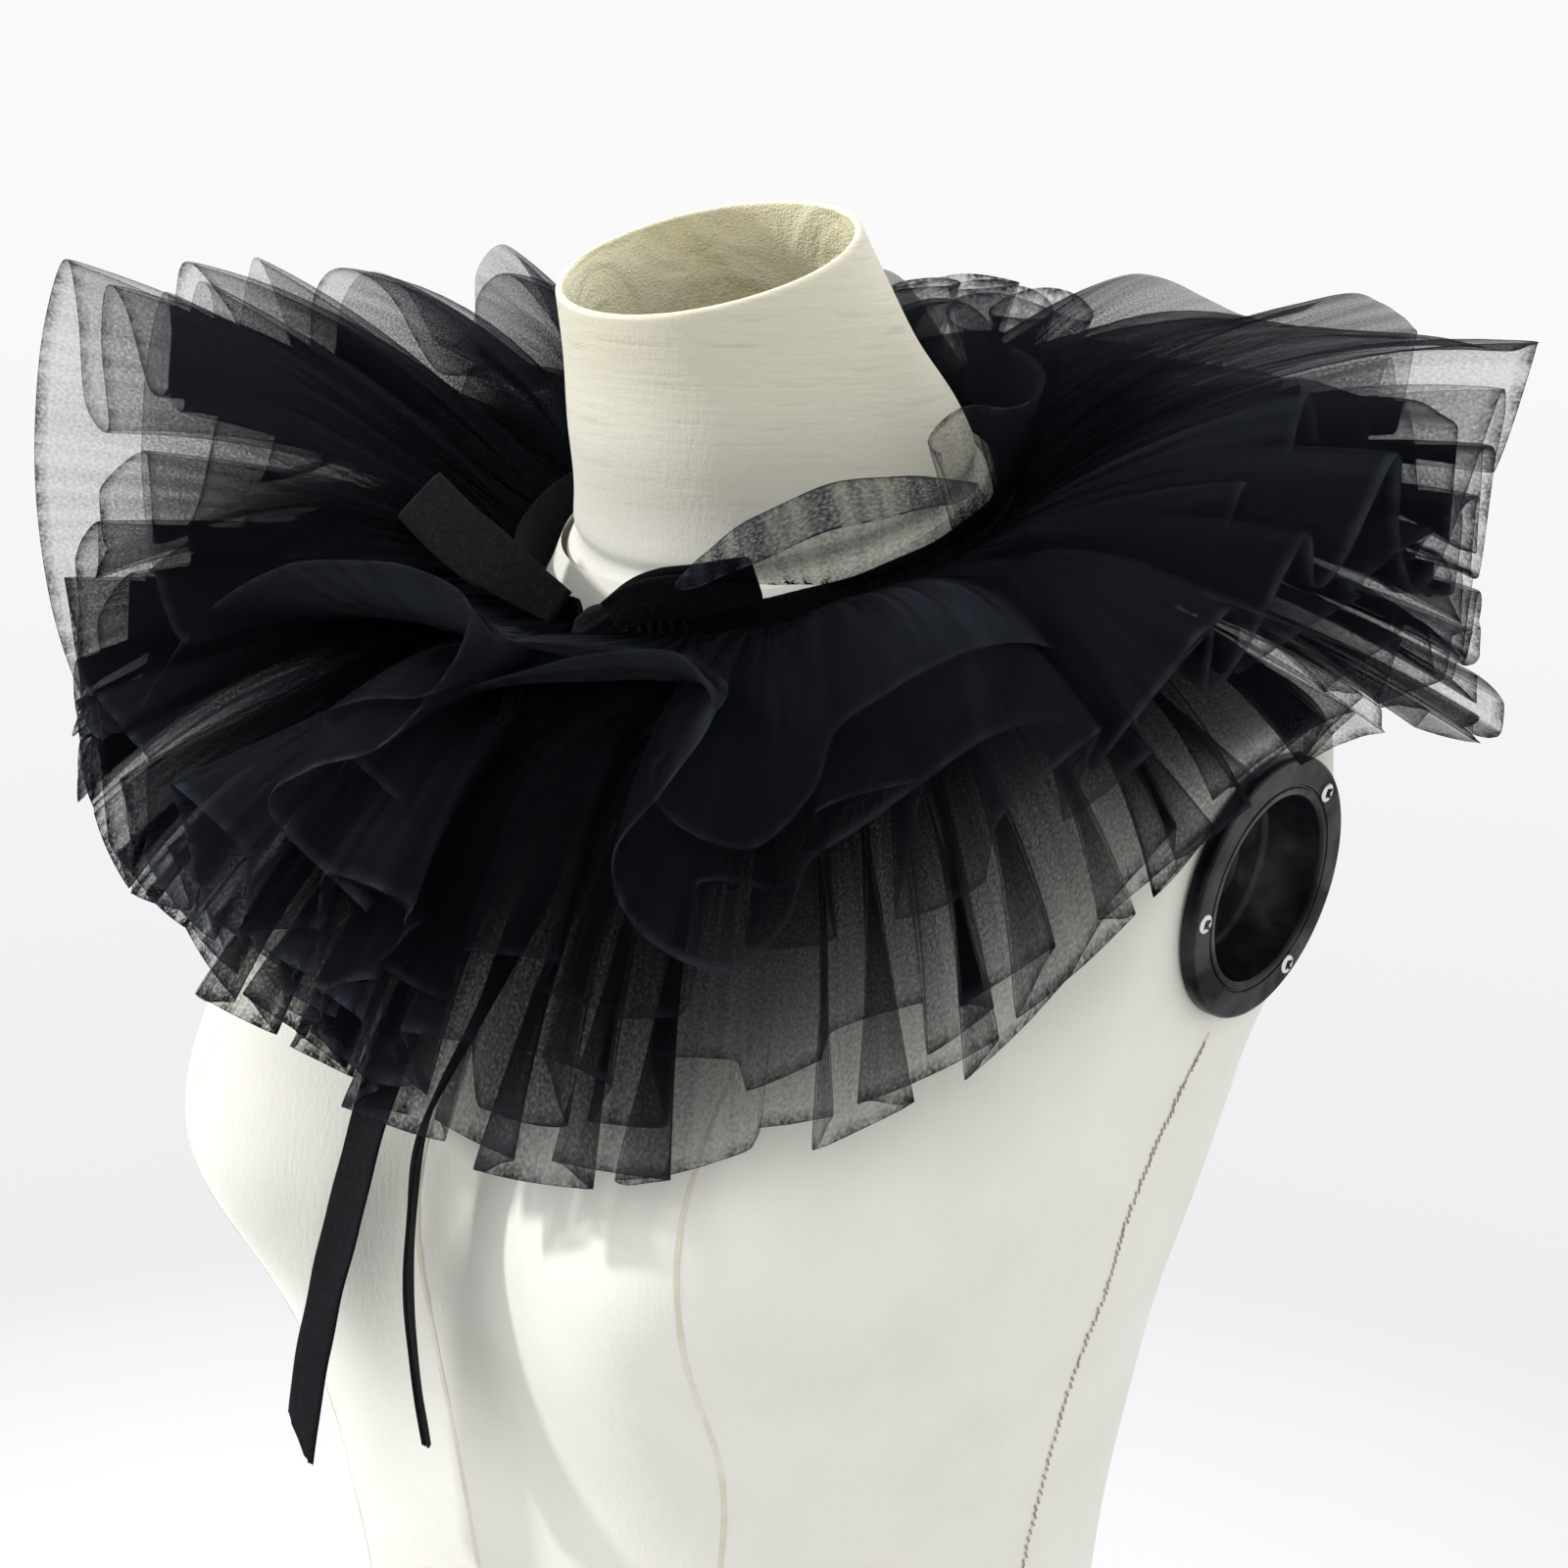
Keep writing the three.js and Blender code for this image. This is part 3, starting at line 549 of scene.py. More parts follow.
def seam_welt(name, way):
    """The narrow pressed ridge of a seam with its stitched groove."""
    here, outwards, forward = seam_line(way, 260)
    across = np.cross(outwards, forward)
    profile = [(-1.2, -0.2), (-0.7, 0.24), (-0.2, 0.1), (0.2, 0.1), (0.7, 0.24), (1.2, -0.2)]
    pucker = 0.06 * np.sin(np.linspace(0, 240, len(here)))
    rows = [here + across * aside + outwards * (up + pucker)[:, None] for aside, up in profile]
    return grid_object(name, np.array(rows))


def overlock_stitches(name, way):
    """Short slanting stitches of darker thread along a side seam."""
    here, outwards, forward = seam_line(way, 150)
    across = np.cross(outwards, forward)
    draws = np.random.default_rng(17)
    points, faces = [], []
    for index in range(2, len(here) - 2):
        lean = forward[index] * draws.uniform(0.7, 1.3) + across[index] * draws.uniform(0.5, 1.1)
        along = unit(lean) * draws.uniform(1.1, 1.9)
        wide = np.cross(outwards[index], unit(lean)) * 0.32
        middle = here[index] + across[index] * draws.uniform(-0.5, 0.5) + outwards[index] * 0.42
        start = len(points)
        points += [middle - along - wide, middle - along + wide, middle + along + wide, middle + along - wide]
        points += [middle - along - outwards[index] * 0.5, middle + along - outwards[index] * 0.5]
        faces += [
            (start, start + 1, start + 2, start + 3), (start, start + 3, start + 5, start + 4),
            (start + 1, start + 4, start + 5, start + 2), (start, start + 4, start + 1),
            (start + 2, start + 5, start + 3),
        ]
    return new_object(name, points, faces, smooth=False)


def neck_ring(y, z, radius, tilt, angles):
    ahead = -np.cos(angles) * radius
    lean = math.radians(tilt)
    ring = [np.sin(angles) * radius, y + ahead * math.cos(lean), z + ahead * math.sin(lean)]
    return np.stack(ring, axis=-1)


def form_neck_skin():
    """The neck stump: outer skin, a rolled hem at the rim and the lining inside."""
    columns = 200
    angles = circle(columns)
    rings, shares = [], np.linspace(0, 1, 40)
    base, top = NECK_RINGS[0][1], NECK_RINGS[-1][1]
    hem = 1.4  # radius of the rolled hem at the rim
    uneven = 0.004

    def ring_at(z, inset, wobble=uneven):
        y, radius, tilt = (
            cubic(NECK_RINGS, NECK_COLUMNS, "z", name, np.array([z]))[0] for name in ("y", "radius", "tilt")
        )
        stretch = 1.0 + wobble * (np.sin(3 * angles + 0.7) + 0.6 * np.sin(5 * angles))
        ring = neck_ring(y, z, radius - inset, tilt, angles)
        centre = ring.mean(axis=0)
        return centre + (ring - centre) * stretch[:, None]

    flare = ((3.5, -1.8), (1.6, -0.9))  # how far below the first ring, and how far inside it
    for below, inset in flare:
        rings.append(ring_at(base - below, inset))
    for share in shares:
        crease = 2.2 * math.exp(-(((share - 0.035) / 0.03) ** 2))
        rings.append(ring_at(lerp(base, top - hem, share), crease))
    for turn in np.linspace(0, math.pi, 10)[1:-1]:
        rings.append(ring_at(top - hem + hem * math.sin(turn), 1.3 * (1 - math.cos(turn))))
    for share in np.linspace(0, 1, 30):
        rings.append(ring_at(lerp(top - hem, base + 2, share), 2.6 + 1.4 * min(1, 8 * share), 0.006))
    obj = grid_object("form_neck_skin", np.array(rings), wrap_columns=True)
    lining = np.zeros(len(obj.data.polygons), dtype=np.int32)
    lining[(len(flare) + len(shares) + 4) * columns:] = 1
    obj.data.polygons.foreach_set("material_index", lining)
    return obj


def lathe(profile, segments):
    """Points of a solid of revolution about +Y from (radius, along) pairs."""
    turn = circle(segments)
    radius, along = np.array(profile, dtype=float).T[:, :, None]
    return np.stack([np.sin(turn) * radius, np.ones(segments) * along, np.cos(turn) * radius], axis=-1)


def onto_plate(points, side):
    axis = plate_axis(side)
    up = np.array([0.0, 0.0, 1.0])
    second = unit(np.cross(axis, up))
    third = np.cross(second, axis)
    return plate_centre(side) + points[..., 0:1] * second + points[..., 1:2] * axis + points[..., 2:3] * third


def arm_plate(side, name):
    inner, wall, bottom = SOCKET["radius"], SOCKET["wall"], -SOCKET["depth"]
    cup, edge, back = inner + wall, PLATE["radius"], -PLATE["thickness"]
    profile = [
        (0.01, bottom - wall), (cup - 0.6, bottom - wall), (cup, bottom - wall + 0.6), (cup, back),
        (edge - 0.5, back), (edge, back + 0.5), (edge, -1.2), (edge - 0.35, -0.4), (edge - 1.0, -0.05),
        (edge - 1.4, 0.0), (inner + 3.6, 0.0), (inner + 3.3, -0.5), (inner + 2.7, -0.5), (inner + 2.4, 0.0),
        (inner + 0.9, 0.0), (inner + 0.3, -0.3), (inner, -1.0), (inner, bottom + 2), (inner - 2, bottom),
        (16, bottom), (15, bottom + 1.2), (13.6, bottom + 1.2), (12.6, bottom), (0.01, bottom),
    ]
    obj = grid_object(name, onto_plate(lathe(profile, 128), side), wrap_columns=True)
    crisp = obj.modifiers.new("edge", "EDGE_SPLIT")
    crisp.split_angle = math.radians(50)
    return obj


def screw_places():
    turns = [math.radians(angle) for angle in SCREW_DIRECTIONS]
    return [np.array([math.sin(turn), 0.0, math.cos(turn)]) * SCREW_CIRCLE for turn in turns]


def screw_recess_shade(side, name):
    """A black cross on each screw's head: painted shade standing in for its recess."""
    points, faces = [], []
    for middle in screw_places():
        for long, short in ((1.9, 0.42), (0.42, 1.9)):
            start = len(points)
            for proud in (0.86, 0.2):
                for x, z in ((-long, -short), (long, -short), (long, short), (-long, short)):
                    points.append(middle + np.array([x * 0.8 + z * 0.6, proud, z * 0.8 - x * 0.6]))
            faces.append((start, start + 1, start + 2, start + 3))
            for k in range(4):
                after = (k + 1) % 4
                faces.append((start + k, start + 4 + k, start + 4 + after, start + after))
    return new_object(name, onto_plate(np.array(points), side), faces, smooth=False)


def plate_screws(side, name):
    """Three small countersunk screws on the flange and the peg's catch in the socket."""
    profile = [(0.01, 0.25), (0.8, 0.1), (1.0, 0.55), (2.0, 0.75), (2.9, 0.45), (3.2, -0.1), (3.1, -0.4)]
    shapes = [lathe(profile, SCREW_SIDES) + place for place in screw_places()]
    catch = lathe([(0.01, 3.4), (1.2, 3.2), (1.7, 2.4), (1.8, 0.0)], SCREW_SIDES)
    shapes.append(catch + np.array([3.0, -SOCKET["depth"], -7.0]))
    rows, faces, start = [], [], 0
    for shape in shapes:
        rows.append(onto_plate(shape, side).reshape(-1, 3))
        faces += grid_faces(*shape.shape[:2], wrap_columns=True, start=start)
        start += len(rows[-1])
    return new_object(name, np.concatenate(rows), faces)


# ---- the neckline and the ruffle's fan

TILT = math.radians(NECKLINE["tilt"])
NECKLINE_UP = np.array([0.0, -math.sin(TILT), math.cos(TILT)])
NECKLINE_BACK = np.array([0.0, math.cos(TILT), math.sin(TILT)])
NECKLINE_CENTRE = np.array([0.0, NECKLINE["y"], NECKLINE["z"]])
# Where the strips leave the band: their distance from the neckline's axis, and their height above the
# band's lower edge for the lowest level, for how much the highest is above it, and for the top tier.
SEWN = {"radius": NECKLINE["radius"] + BAND["thickness"] + 0.6, "lowest": 1.5, "spread": 10.5, "top": 13.0}


def neckline_point(angle, radius, rise):
    """Direction in degrees, distance from the neckline's axis, height above the band's lower edge."""
    turn = np.radians(angle)
    radius = np.asarray(radius, dtype=float)
    return (
        NECKLINE_CENTRE
        + (np.asarray(rise, dtype=float) - BAND["width"])[..., None] * NECKLINE_UP
        + (radius * np.sin(turn))[..., None] * np.array([1.0, 0.0, 0.0])
        - (radius * np.cos(turn))[..., None] * NECKLINE_BACK
    )


def hem_at(angle, name):
    turned = (angle + 180.0) % 360.0 - 180.0
    keys = column(HEM_COURSE, HEM_COLUMNS, "angle")
    values = column(HEM_COURSE, HEM_COLUMNS, name)
    total = 0.0
    offsets = (-7.0, -3.5, 0.0, 3.5, 7.0)
    for offset in offsets:
        total = total + np.interp((turned + offset + 180.0) % 360.0 - 180.0, keys, values)
    return total / len(offsets)


def ruffle_point(angle, level, along):
    sewn_rise = SEWN["lowest"] + SEWN["spread"] * level
    start = neckline_point(angle, np.full_like(angle, SEWN["radius"]), sewn_rise)
    turn = np.radians(angle)
    out = np.stack([np.sin(turn), -np.cos(turn), np.zeros_like(turn)], axis=-1)
    radius = lerp(hem_at(angle, "low_radius"), hem_at(angle, "high_radius"), level)
    rise = lerp(hem_at(angle, "low_rise"), hem_at(angle, "high_rise"), level)
    bulge = lerp(hem_at(angle, "low_bulge"), hem_at(angle, "high_bulge"), level)
    hem = out * radius[..., None]
    hem[..., 2] = rise
    run = np.hypot(hem[..., 0] - start[..., 0], hem[..., 1] - start[..., 1])
    drop = hem[..., 2] - start[..., 2]
    length = np.hypot(run, drop)
    bow = bulge * 4.0 * along * (1.0 - along)
    point = lerp(start, hem, along[..., None]) + out * (-drop / length * bow)[..., None]
    point[..., 2] += run / length * bow
    return point


COURSE_COLUMNS = (
    "name", "node", "level", "swing", "crest", "waves", "crisp", "seed", "fold", "lean", "strip",
    "short",
)
# Level is the tier's place between the fan's lowest course (0) and its highest (1), and swing how far
# the folds move it. Crest is how much higher than deep they are, and crisp goes from round waves to
# pressed pleats. Fold is how far the pleats overlap, lean tips them over sideways, and strip is the
# length in metres of the doubled tulle that was gathered. Short is the share that is missing over the
# wearer's left breast, where the upper tiers are pushed back.
COURSES = [
    ("tier_1_tulle", "tulle_tier_1_chest", 0.06, 0.045, 1, 27, 1.0, 0.4, 1.45, 0.40, 1.55, 0),
    ("tier_2_tulle", "tulle_tier_2", 0.26, 0.110, 1, 32, 0.9, 1.9, 1.20, 0.80, 1.7, 0),
    ("tier_3_tulle", "tulle_tier_3", 0.52, 0.150, 1.1, 24, 0.8, 3.1, 1.15, 1.00, 1.7, 0.14),
]
# The doubled strip's width from the neckline to the fold at the hem, and the gathers at the band:
# how many go round, how high they are and the share of the way to the hem where they fade.
STRIP_WIDTH = 155
GATHERS = {"count": 176, "height": 0.9, "reach": 0.28}
# Shares of the way from the neckline to the hem where the strip is drawn, closest at the fold.
STATIONS = (
    0, 0.02, 0.05, 0.09, 0.13, 0.18, 0.24, 0.31, 0.38, 0.46, 0.54, 0.62, 0.70, 0.77, 0.84, 0.90, 0.945,
    0.972, 0.988, 0.996, 1,
)


def wave_phase(course, turn):
    seed = course["seed"]
    drift = 0.9 * np.sin(3 * turn + seed) + 0.5 * np.sin(7 * turn + 2 * seed)
    phase = course["waves"] * turn + drift + 0.55 * np.sin(13 * turn + 3 * seed)
    return phase + 0.35 * np.sin(23 * turn + seed)


def per_fold(phase, seed, low, high):
    """A random value for each half wave, eased from one to the next."""
    values = np.random.default_rng(seed).uniform(low, high, 256)
    place = phase / math.pi + 40
    index = np.floor(place).astype(int)
    blend = smoothstep(place - index, 0.0, 1.0)
    return lerp(values[index % 256], values[(index + 1) % 256], blend)


def course_middle(course, share, along):
    """The middle of a doubled strip, by share of its length and share of the way to the hem."""
    seed = course["seed"]
    # The ends start 5 degrees beside the front, which leaves room for the knot, and pass it further out.
    half = lerp(5.0, -8.0, np.minimum(1, along * 2.2))
    angle = lerp(half, 360 - half, share)
    turn = np.radians(angle)
    phase = wave_phase(course, turn)
    plain = np.sin(phase)
    crisp = course["crisp"]
    pressed = np.tanh(2.4 * plain) / math.tanh(2.4)
    zigzag = np.arcsin(0.985 * np.sin(2 * phase)) / math.asin(0.985)
    draw = round(10 * seed)
    size = (0.8 + 0.2 * np.sin(5 * turn + 3 * seed)) * per_fold(phase, draw, 0.45, 1.5)
    grown = along**1.3
    height = lerp(plain, pressed, crisp) * size * (0.08 + 0.92 * grown)
    height = np.where(height > 0, course["crest"] * height, height)
    ripple_phase = 88 * turn + 2.0 * np.sin(9 * turn + 4 * seed) + 1.2 * np.sin(4 * along + 6 * turn)
    ripple = 0.09 * np.sin(ripple_phase) * along**0.8 * (1.25 - along) * per_fold(phase, draw + 4, 0.2, 1.4)
    level = course["level"] + course["swing"] * (height + ripple)
    tip = course["lean"] * per_fold(phase, draw + 1, -1.0, 1.0) * plain
    fold = course["fold"] * per_fold(phase, draw + 2, 0.45, 1.45)
    sideways = (tip - fold * lerp(np.sin(2 * phase), zigzag, crisp)) * grown / course["waves"]
    reach = 1 + 0.022 * np.sin(4 * turn + seed) * along
    reach = reach + per_fold(phase, draw + 3, -0.055, 0.035) * along**2
    short = course["short"] * smoothstep(angle, 28, 44) * (1 - smoothstep(angle, 74, 98))
    reach = reach - short * along
    return ruffle_point(angle + np.degrees(sideways), level, along * reach), turn


def stations(columns):
    return np.array(STATIONS, dtype=float)[None, :] * np.ones((columns, 1))


def hem_fold(along):
    """How far the plies are apart near the hem, where they close round the fold: 1 down to 0."""
    return np.sqrt(np.clip(1 - ((along - 0.97) / 0.03).clip(0, 1) ** 2, 0, 1))


def doubled_strip(name, middle, along, sway, apart, length, width):
    """One strip folded along the hem: an upper ply out and a lower ply back.

    The middle is a grid of the strip's length by its stations. Sway moves both plies and apart
    parts them. Length is how far each column lies along the strip, and width is from the neckline
    to the fold. Returns the mesh and the share of the way to the hem at each point.
    """
    normals = unit(np.cross(np.gradient(middle, axis=1), np.gradient(middle, axis=0)))
    upper = middle + normals * (sway + apart)[..., None]
    lower = middle + normals * (sway - apart)[..., None]
    points = np.concatenate([upper, lower[:, -2::-1]], axis=1)
    both = np.concatenate([along, 2 - along[:, -2::-1]], axis=1)
    cloth = np.stack([length[:, None] * np.ones_like(both), both * width], axis=-1)
    return grid_object(name, points, cloth), 1 - np.abs(1 - both)


def run_along(curve):
    """How far each point of a curve lies along it."""
    return np.concatenate([[0], np.cumsum(np.linalg.norm(np.diff(curve, axis=0), axis=1))])


# How gathering closes the net: the radii of the hem and the neckline, the power it closes with, the
# share of light that one layer lets past, and how much more the fold at the hem takes.
NET = {"hem": 240, "neckline": 84, "closing": 2.6, "clear": 0.85, "hem_fold": 0.24}


def net_crowding(to_hem, fullness):
    """How much of the light the net takes: gathered closely at the neckline, open at the hem."""
    layers = fullness * (NET["hem"] / lerp(NET["neckline"], NET["hem"], to_hem)) ** NET["closing"]
    return 1 - NET["clear"] ** layers + NET["hem_fold"] * smoothstep(to_hem, 0.975, 1.0)


def tulle_course(course, columns=1200):
    """One of the three lower tiers: a doubled strip in pressed pleats, gathered at the band."""
    along = stations(columns)
    share = np.linspace(0, 1, columns)[:, None] * np.ones_like(along)
    middle, turn = course_middle(course, share, along)
    seed, count = course["seed"], GATHERS["count"]
    crowded = along**0.4 * np.exp(-((along / GATHERS["reach"]) ** 2))
    crowded = crowded * (0.65 + 0.35 * np.sin(23 * turn + seed))
    gathers = GATHERS["height"] * np.sin(count * turn + 2.2 * np.sin(5 * turn + seed)) * crowded
    swell = 0.35 + 1.25 * np.sin(math.pi * along**0.8) * (0.75 + 0.25 * np.sin(19 * turn + 3 * seed))
    obj, to_hem = doubled_strip(
        course["name"], middle, along, gathers, swell * hem_fold(along), run_along(middle[:, -1]), STRIP_WIDTH
    )
    from_front = (np.degrees(turn[:, :1]) + 10 + 180) % 360 - 180
    front = np.exp(-((from_front / 48) ** 4))
    # Painted highlight: crest lightens the net's colour towards the hem, unevenly round the neck, and most at
    # the fold.
    bloom = smoothstep(to_hem, 0.25, 0.95) * (0.3 + 0.7 * np.sin(3 * turn[:, :1] + seed)) * 0.35
    crest = bloom + 0.3 * smoothstep(to_hem, 0.97, 1.0)
    return shade_net(obj, crowding=net_crowding(to_hem, 1.0 + 0.9 * front), crest=crest)


# ---- the top tier's large folds

FOLD_COLUMNS = ("root", "angle", "radius", "z", "bulge")
# Where the top strip's hem turns, in order along the strip: the direction it leaves the neckline in,
# then the hem's own direction, distance from the form's axis and height, and how far it arches up.
TOP_FOLDS = [
    (7.5, -7, 184, 444, 12), (9, -8, 168, 464, 10), (11, -6, 155, 491, 6), (14, 2, 151, 505, 0),
    (18, 12, 150, 516, -5), (22, 23, 151, 525, -9), (26, 32, 155, 527, -10), (29, 36, 163, 513, -4),
    (31, 32, 173, 493, 6), (33, 28, 184, 474, 14), (35, 31, 192, 456, 18), (38, 38, 194, 446, 20),
    (42, 43, 188, 458, 22), (46, 45, 182, 474, 22), (50, 50, 181, 485, 22), (55, 56, 180, 498, 20),
    (60, 61.5, 179, 508, 18), (64, 67, 180, 512, 16), (67, 72, 184, 507, 14), (69, 70, 192, 500, 14),
    (71, 74, 200, 522, 10), (73, 78, 206, 540, 8), (75, 77, 210, 522, 10), (77, 80, 214, 536, 8),
    (80, 84, 220, 566, 8), (82, 84, 224, 552, 10), (84, 86, 228, 560, 10), (87, 90, 233, 588, 12),
    (89, 90, 235, 566, 12), (91, 92, 238, 548, 12), (93, 95, 240, 560, 12), (96, 99, 243, 590, 14),
    (98, 101, 245, 604, 14), (100, 102, 245, 596, 14), (101, 101, 244, 580, 12), (103, 104, 245, 590, 14),
    (106, 110, 247, 613, 16), (114, 118, 246, 612, 16), (124, 129, 243, 606, 16), (136, 142, 241, 605, 16),
    (150, 156, 239, 601, 16), (162, 168, 237, 602, 16), (170, 176, 235, 594, 14), (176, 182, 232, 580, 12),
    (180, 183, 230, 562, 10), (184, 186, 230, 556, 10), (190, 192, 232, 574, 12), (196, 198, 234, 600, 14),
    (202, 203, 234, 596, 14), (206, 205, 233, 570, 12), (212, 211, 234, 562, 10), (218, 218, 236, 590, 14),
    (224, 224, 238, 606, 16), (230, 229, 238, 596, 14), (232, 230, 237, 570, 12), (236, 235, 238, 566, 10),
    (240, 240, 240, 592, 14), (244, 244, 241, 608, 16), (248, 247, 241, 598, 14), (250, 247, 240, 574, 12),
    (253, 251, 240, 570, 10), (257, 256, 241, 600, 14), (261, 261, 242, 611, 16), (265, 264, 242, 600, 14),
    (267, 265, 241, 572, 12), (270, 269, 241, 568, 10), (274, 274, 242, 598, 14), (278, 279, 241, 615, 14),
    (281, 281, 240, 604, 14), (283, 282, 239, 574, 10), (285, 285, 239, 570, 10), (288, 288, 240, 600, 12),
    (291, 291, 240, 609, 12), (293, 293, 238, 590, 10), (294, 293, 236, 560, 10), (296, 296, 238, 570, 10),
    (298, 298, 236, 600, 12), (301, 301, 234, 620, 12), (304, 306, 232, 614, 10), (308, 313, 231, 590, 8),
    (312, 320, 230, 556, 6), (316, 327, 227, 524, 4), (320, 332, 222, 500, 4), (323, 335, 217, 489, 6),
    (325, 333, 208, 486, 8), (327, 330, 198, 496, 6), (330, 332, 188, 514, 2), (333, 339, 181, 530, -4),
    (337, 349, 177, 543, -9), (340, 358, 176, 548, -12), (343, 366, 176, 549, -13), (345, 372, 174, 542, -13),
    (346.5, 372, 176, 528, -10), (348, 369, 182, 511, -4), (349.5, 365, 187, 497, 4),
    (350.5, 358, 190, 488, 10), (351.5, 354, 194, 474, 14), (352.5, 366, 194, 452, 14),
]


# The top tier's two strips: how far each reaches, how far its folds are turned round the neck in
# degrees, how far it stands above the other one, and the doubled strip's length in metres.
TOP_STRIPS = {"tier_4_top_folds": (1.0, 0.0, 0.0, 1.6), "tier_4_inner_folds": (0.8, 6.0, 9.0, 1.35)}


def top_folds(name, share, shift, above, columns=1500):
    """One strip of the top tier, with each large fold where it lies on the form."""
    places = []
    for row in TOP_FOLDS:
        fold = dict(zip(FOLD_COLUMNS, row))
        way = math.radians(fold["angle"] + shift * math.sin(math.radians(fold["root"] / 2)))
        x, y = fold["radius"] * math.sin(way), -fold["radius"] * math.cos(way)
        places.append((fold["root"], x, y, fold["z"], fold["bulge"]))
    course = smooth_path(places, columns)
    root, hem, bulge = course[:, 0:1], course[:, 1:4], course[:, 4:5]
    along = stations(columns)
    start = neckline_point(root, np.full_like(root, SEWN["radius"]), np.full_like(root, SEWN["top"]))
    chord = hem[:, None, :] - start
    run = np.hypot(chord[..., 0], chord[..., 1])
    length = np.hypot(run, chord[..., 2])
    gone = along * share
    bow = (bulge * 4 * gone * (1 - gone) + above * along**1.5 * (1 + 0.7 * np.sin(0.16 * root)))[..., None]
    drop = -chord[..., 2]
    lift = np.stack([drop * chord[..., 0] / run, drop * chord[..., 1] / run, run], axis=-1)
    middle = start + chord * gone[..., None] + lift / length[..., None] * bow
    turn = np.radians(root + 3 * shift) * np.ones_like(along)
    creases = np.sin(31 * turn + 3 * np.sin(7 * turn)) + 0.6 * np.sin(67 * turn + 2 * along)
    rucks = 1.3 * np.sin(150 * turn + 2 * np.sin(6 * turn)) * np.exp(-((along / 0.25) ** 2)) * along**0.4
    sway = 1.1 * creases * along * (1.15 - along) + rucks
    swell = 0.35 + 1.9 * np.sin(math.pi * along**0.8) * (0.75 + 0.25 * np.sin(23 * turn))
    obj, to_hem = doubled_strip(
        name, middle, along, sway, swell * hem_fold(along), run_along(hem), STRIP_WIDTH
    )
    crowding = net_crowding(to_hem * share, 0.9 + 0.3 * smoothstep(root, 300, 340))
    # Painted highlight: crest lightens the net's colour where the hem stands above its neighbours, most on
    # the front petals, and at the fold.
    middle_z = np.convolve(np.pad(hem[:, 2], 60, mode="edge"), np.ones(121) / 121, mode="valid")
    raised = np.clip((hem[:, 2] - middle_z) / 22, 0, 1)[:, None]
    petals = 1 - smoothstep(root, 60, 75) + smoothstep(root, 318, 330)
    ridge = smoothstep(to_hem, 0.2, 0.9) * (0.05 + 0.12 * petals + (0.4 + 0.5 * petals) * raised)
    return shade_net(obj, crowding=crowding, crest=ridge + 0.6 * smoothstep(to_hem, 0.97, 1.0))


# ---- the heading frill

# Start and end are directions round the neck. Lift is the angle from level that the frill stands at,
# and swing how far its waves move that. Root is where it leaves the band, as the distance from the
# neckline's axis, and rise the height there. Strip is how long its net is drawn, in millimetres, and
# flat its flat size in metres.
FRILL = {
    "start": 84, "end": 268, "height": 50, "lift": 78, "swing": 16, "waves": 9, "root": 85.1, "rise": 17,
    "strip": 620, "flat": (0.10, 0.44),
}
# The frill's front end leans forward over the bow: direction, distance from the neckline's axis and
# height above the band's lower edge, along its lower and its upper edge.
FRONT_LOOP_LOWER = [
    (25, 93, 35), (34, 95, 34), (44, 94, 30), (54, 89, 23), (66, 88, 20), (78, 88, 20), (88, 88, 20),
]
FRONT_LOOP_UPPER = [
    (24, 94, 36), (31, 97, 46), (40, 99, 55), (53, 101, 61), (66, 101, 57), (78, 97, 47), (89, 92, 37),
]


def heading_frill(columns=900):
    """A doubled strip that stands up from the band in sheer loops, leaning outwards."""
    along = stations(columns)
    share = np.linspace(0, 1, columns)[:, None]
    angle = lerp(FRILL["start"], FRILL["end"], share) * np.ones_like(along)
    turn = np.radians(angle)
    waves_round = FRILL["waves"] * 360 / (FRILL["end"] - FRILL["start"])
    phase = waves_round * turn + 0.8 * np.sin(4 * turn)
    ends = smoothstep(np.minimum(angle - FRILL["start"], FRILL["end"] - angle), -6, 24)
    plain = np.sin(phase)
    fold = 0.9 * per_fold(phase, 71, 0.5, 1.25)
    tip = per_fold(phase, 72, -1.2, 1.2) * plain
    sideways = np.degrees((tip - fold * np.sin(2 * phase)) * along**1.3 / waves_round)
    lift = np.radians(FRILL["lift"] + FRILL["swing"] * plain * per_fold(phase, 73, 0.6, 1.5))
    tall = 1.0 + 0.5 * np.exp(-(((angle - 106) / 18) ** 2))
    height = FRILL["height"] * lerp(0.62, 1, ends) * tall * per_fold(phase, 74, 0.78, 1.05)
    reach = height * along
    ruck = 0.7 * np.sin(150 * turn) * np.exp(-((along / 0.3) ** 2)) * along**0.3
    middle = neckline_point(
        angle + sideways, FRILL["root"] + ruck + reach * np.cos(lift), FRILL["rise"] + reach * np.sin(lift)
    )
    apart = 0.25 + 0.8 * np.sin(math.pi * along**0.8)
    obj, to_edge = doubled_strip(
        "heading_frill_tulle", middle, along, 0 * apart, apart, FRILL["strip"] * share[:, 0], FRILL["height"]
    )
    gathered = 0.2 + 0.6 * np.exp(-((to_edge / 0.22) ** 1.5))
    crowding = gathered + 0.25 * smoothstep(to_edge, 0.94, 1.0)
    # Painted highlight: crest lightens the net's colour towards the frill's edge.
    return shade_net(obj, crowding=crowding, crest=0.5 * to_edge)


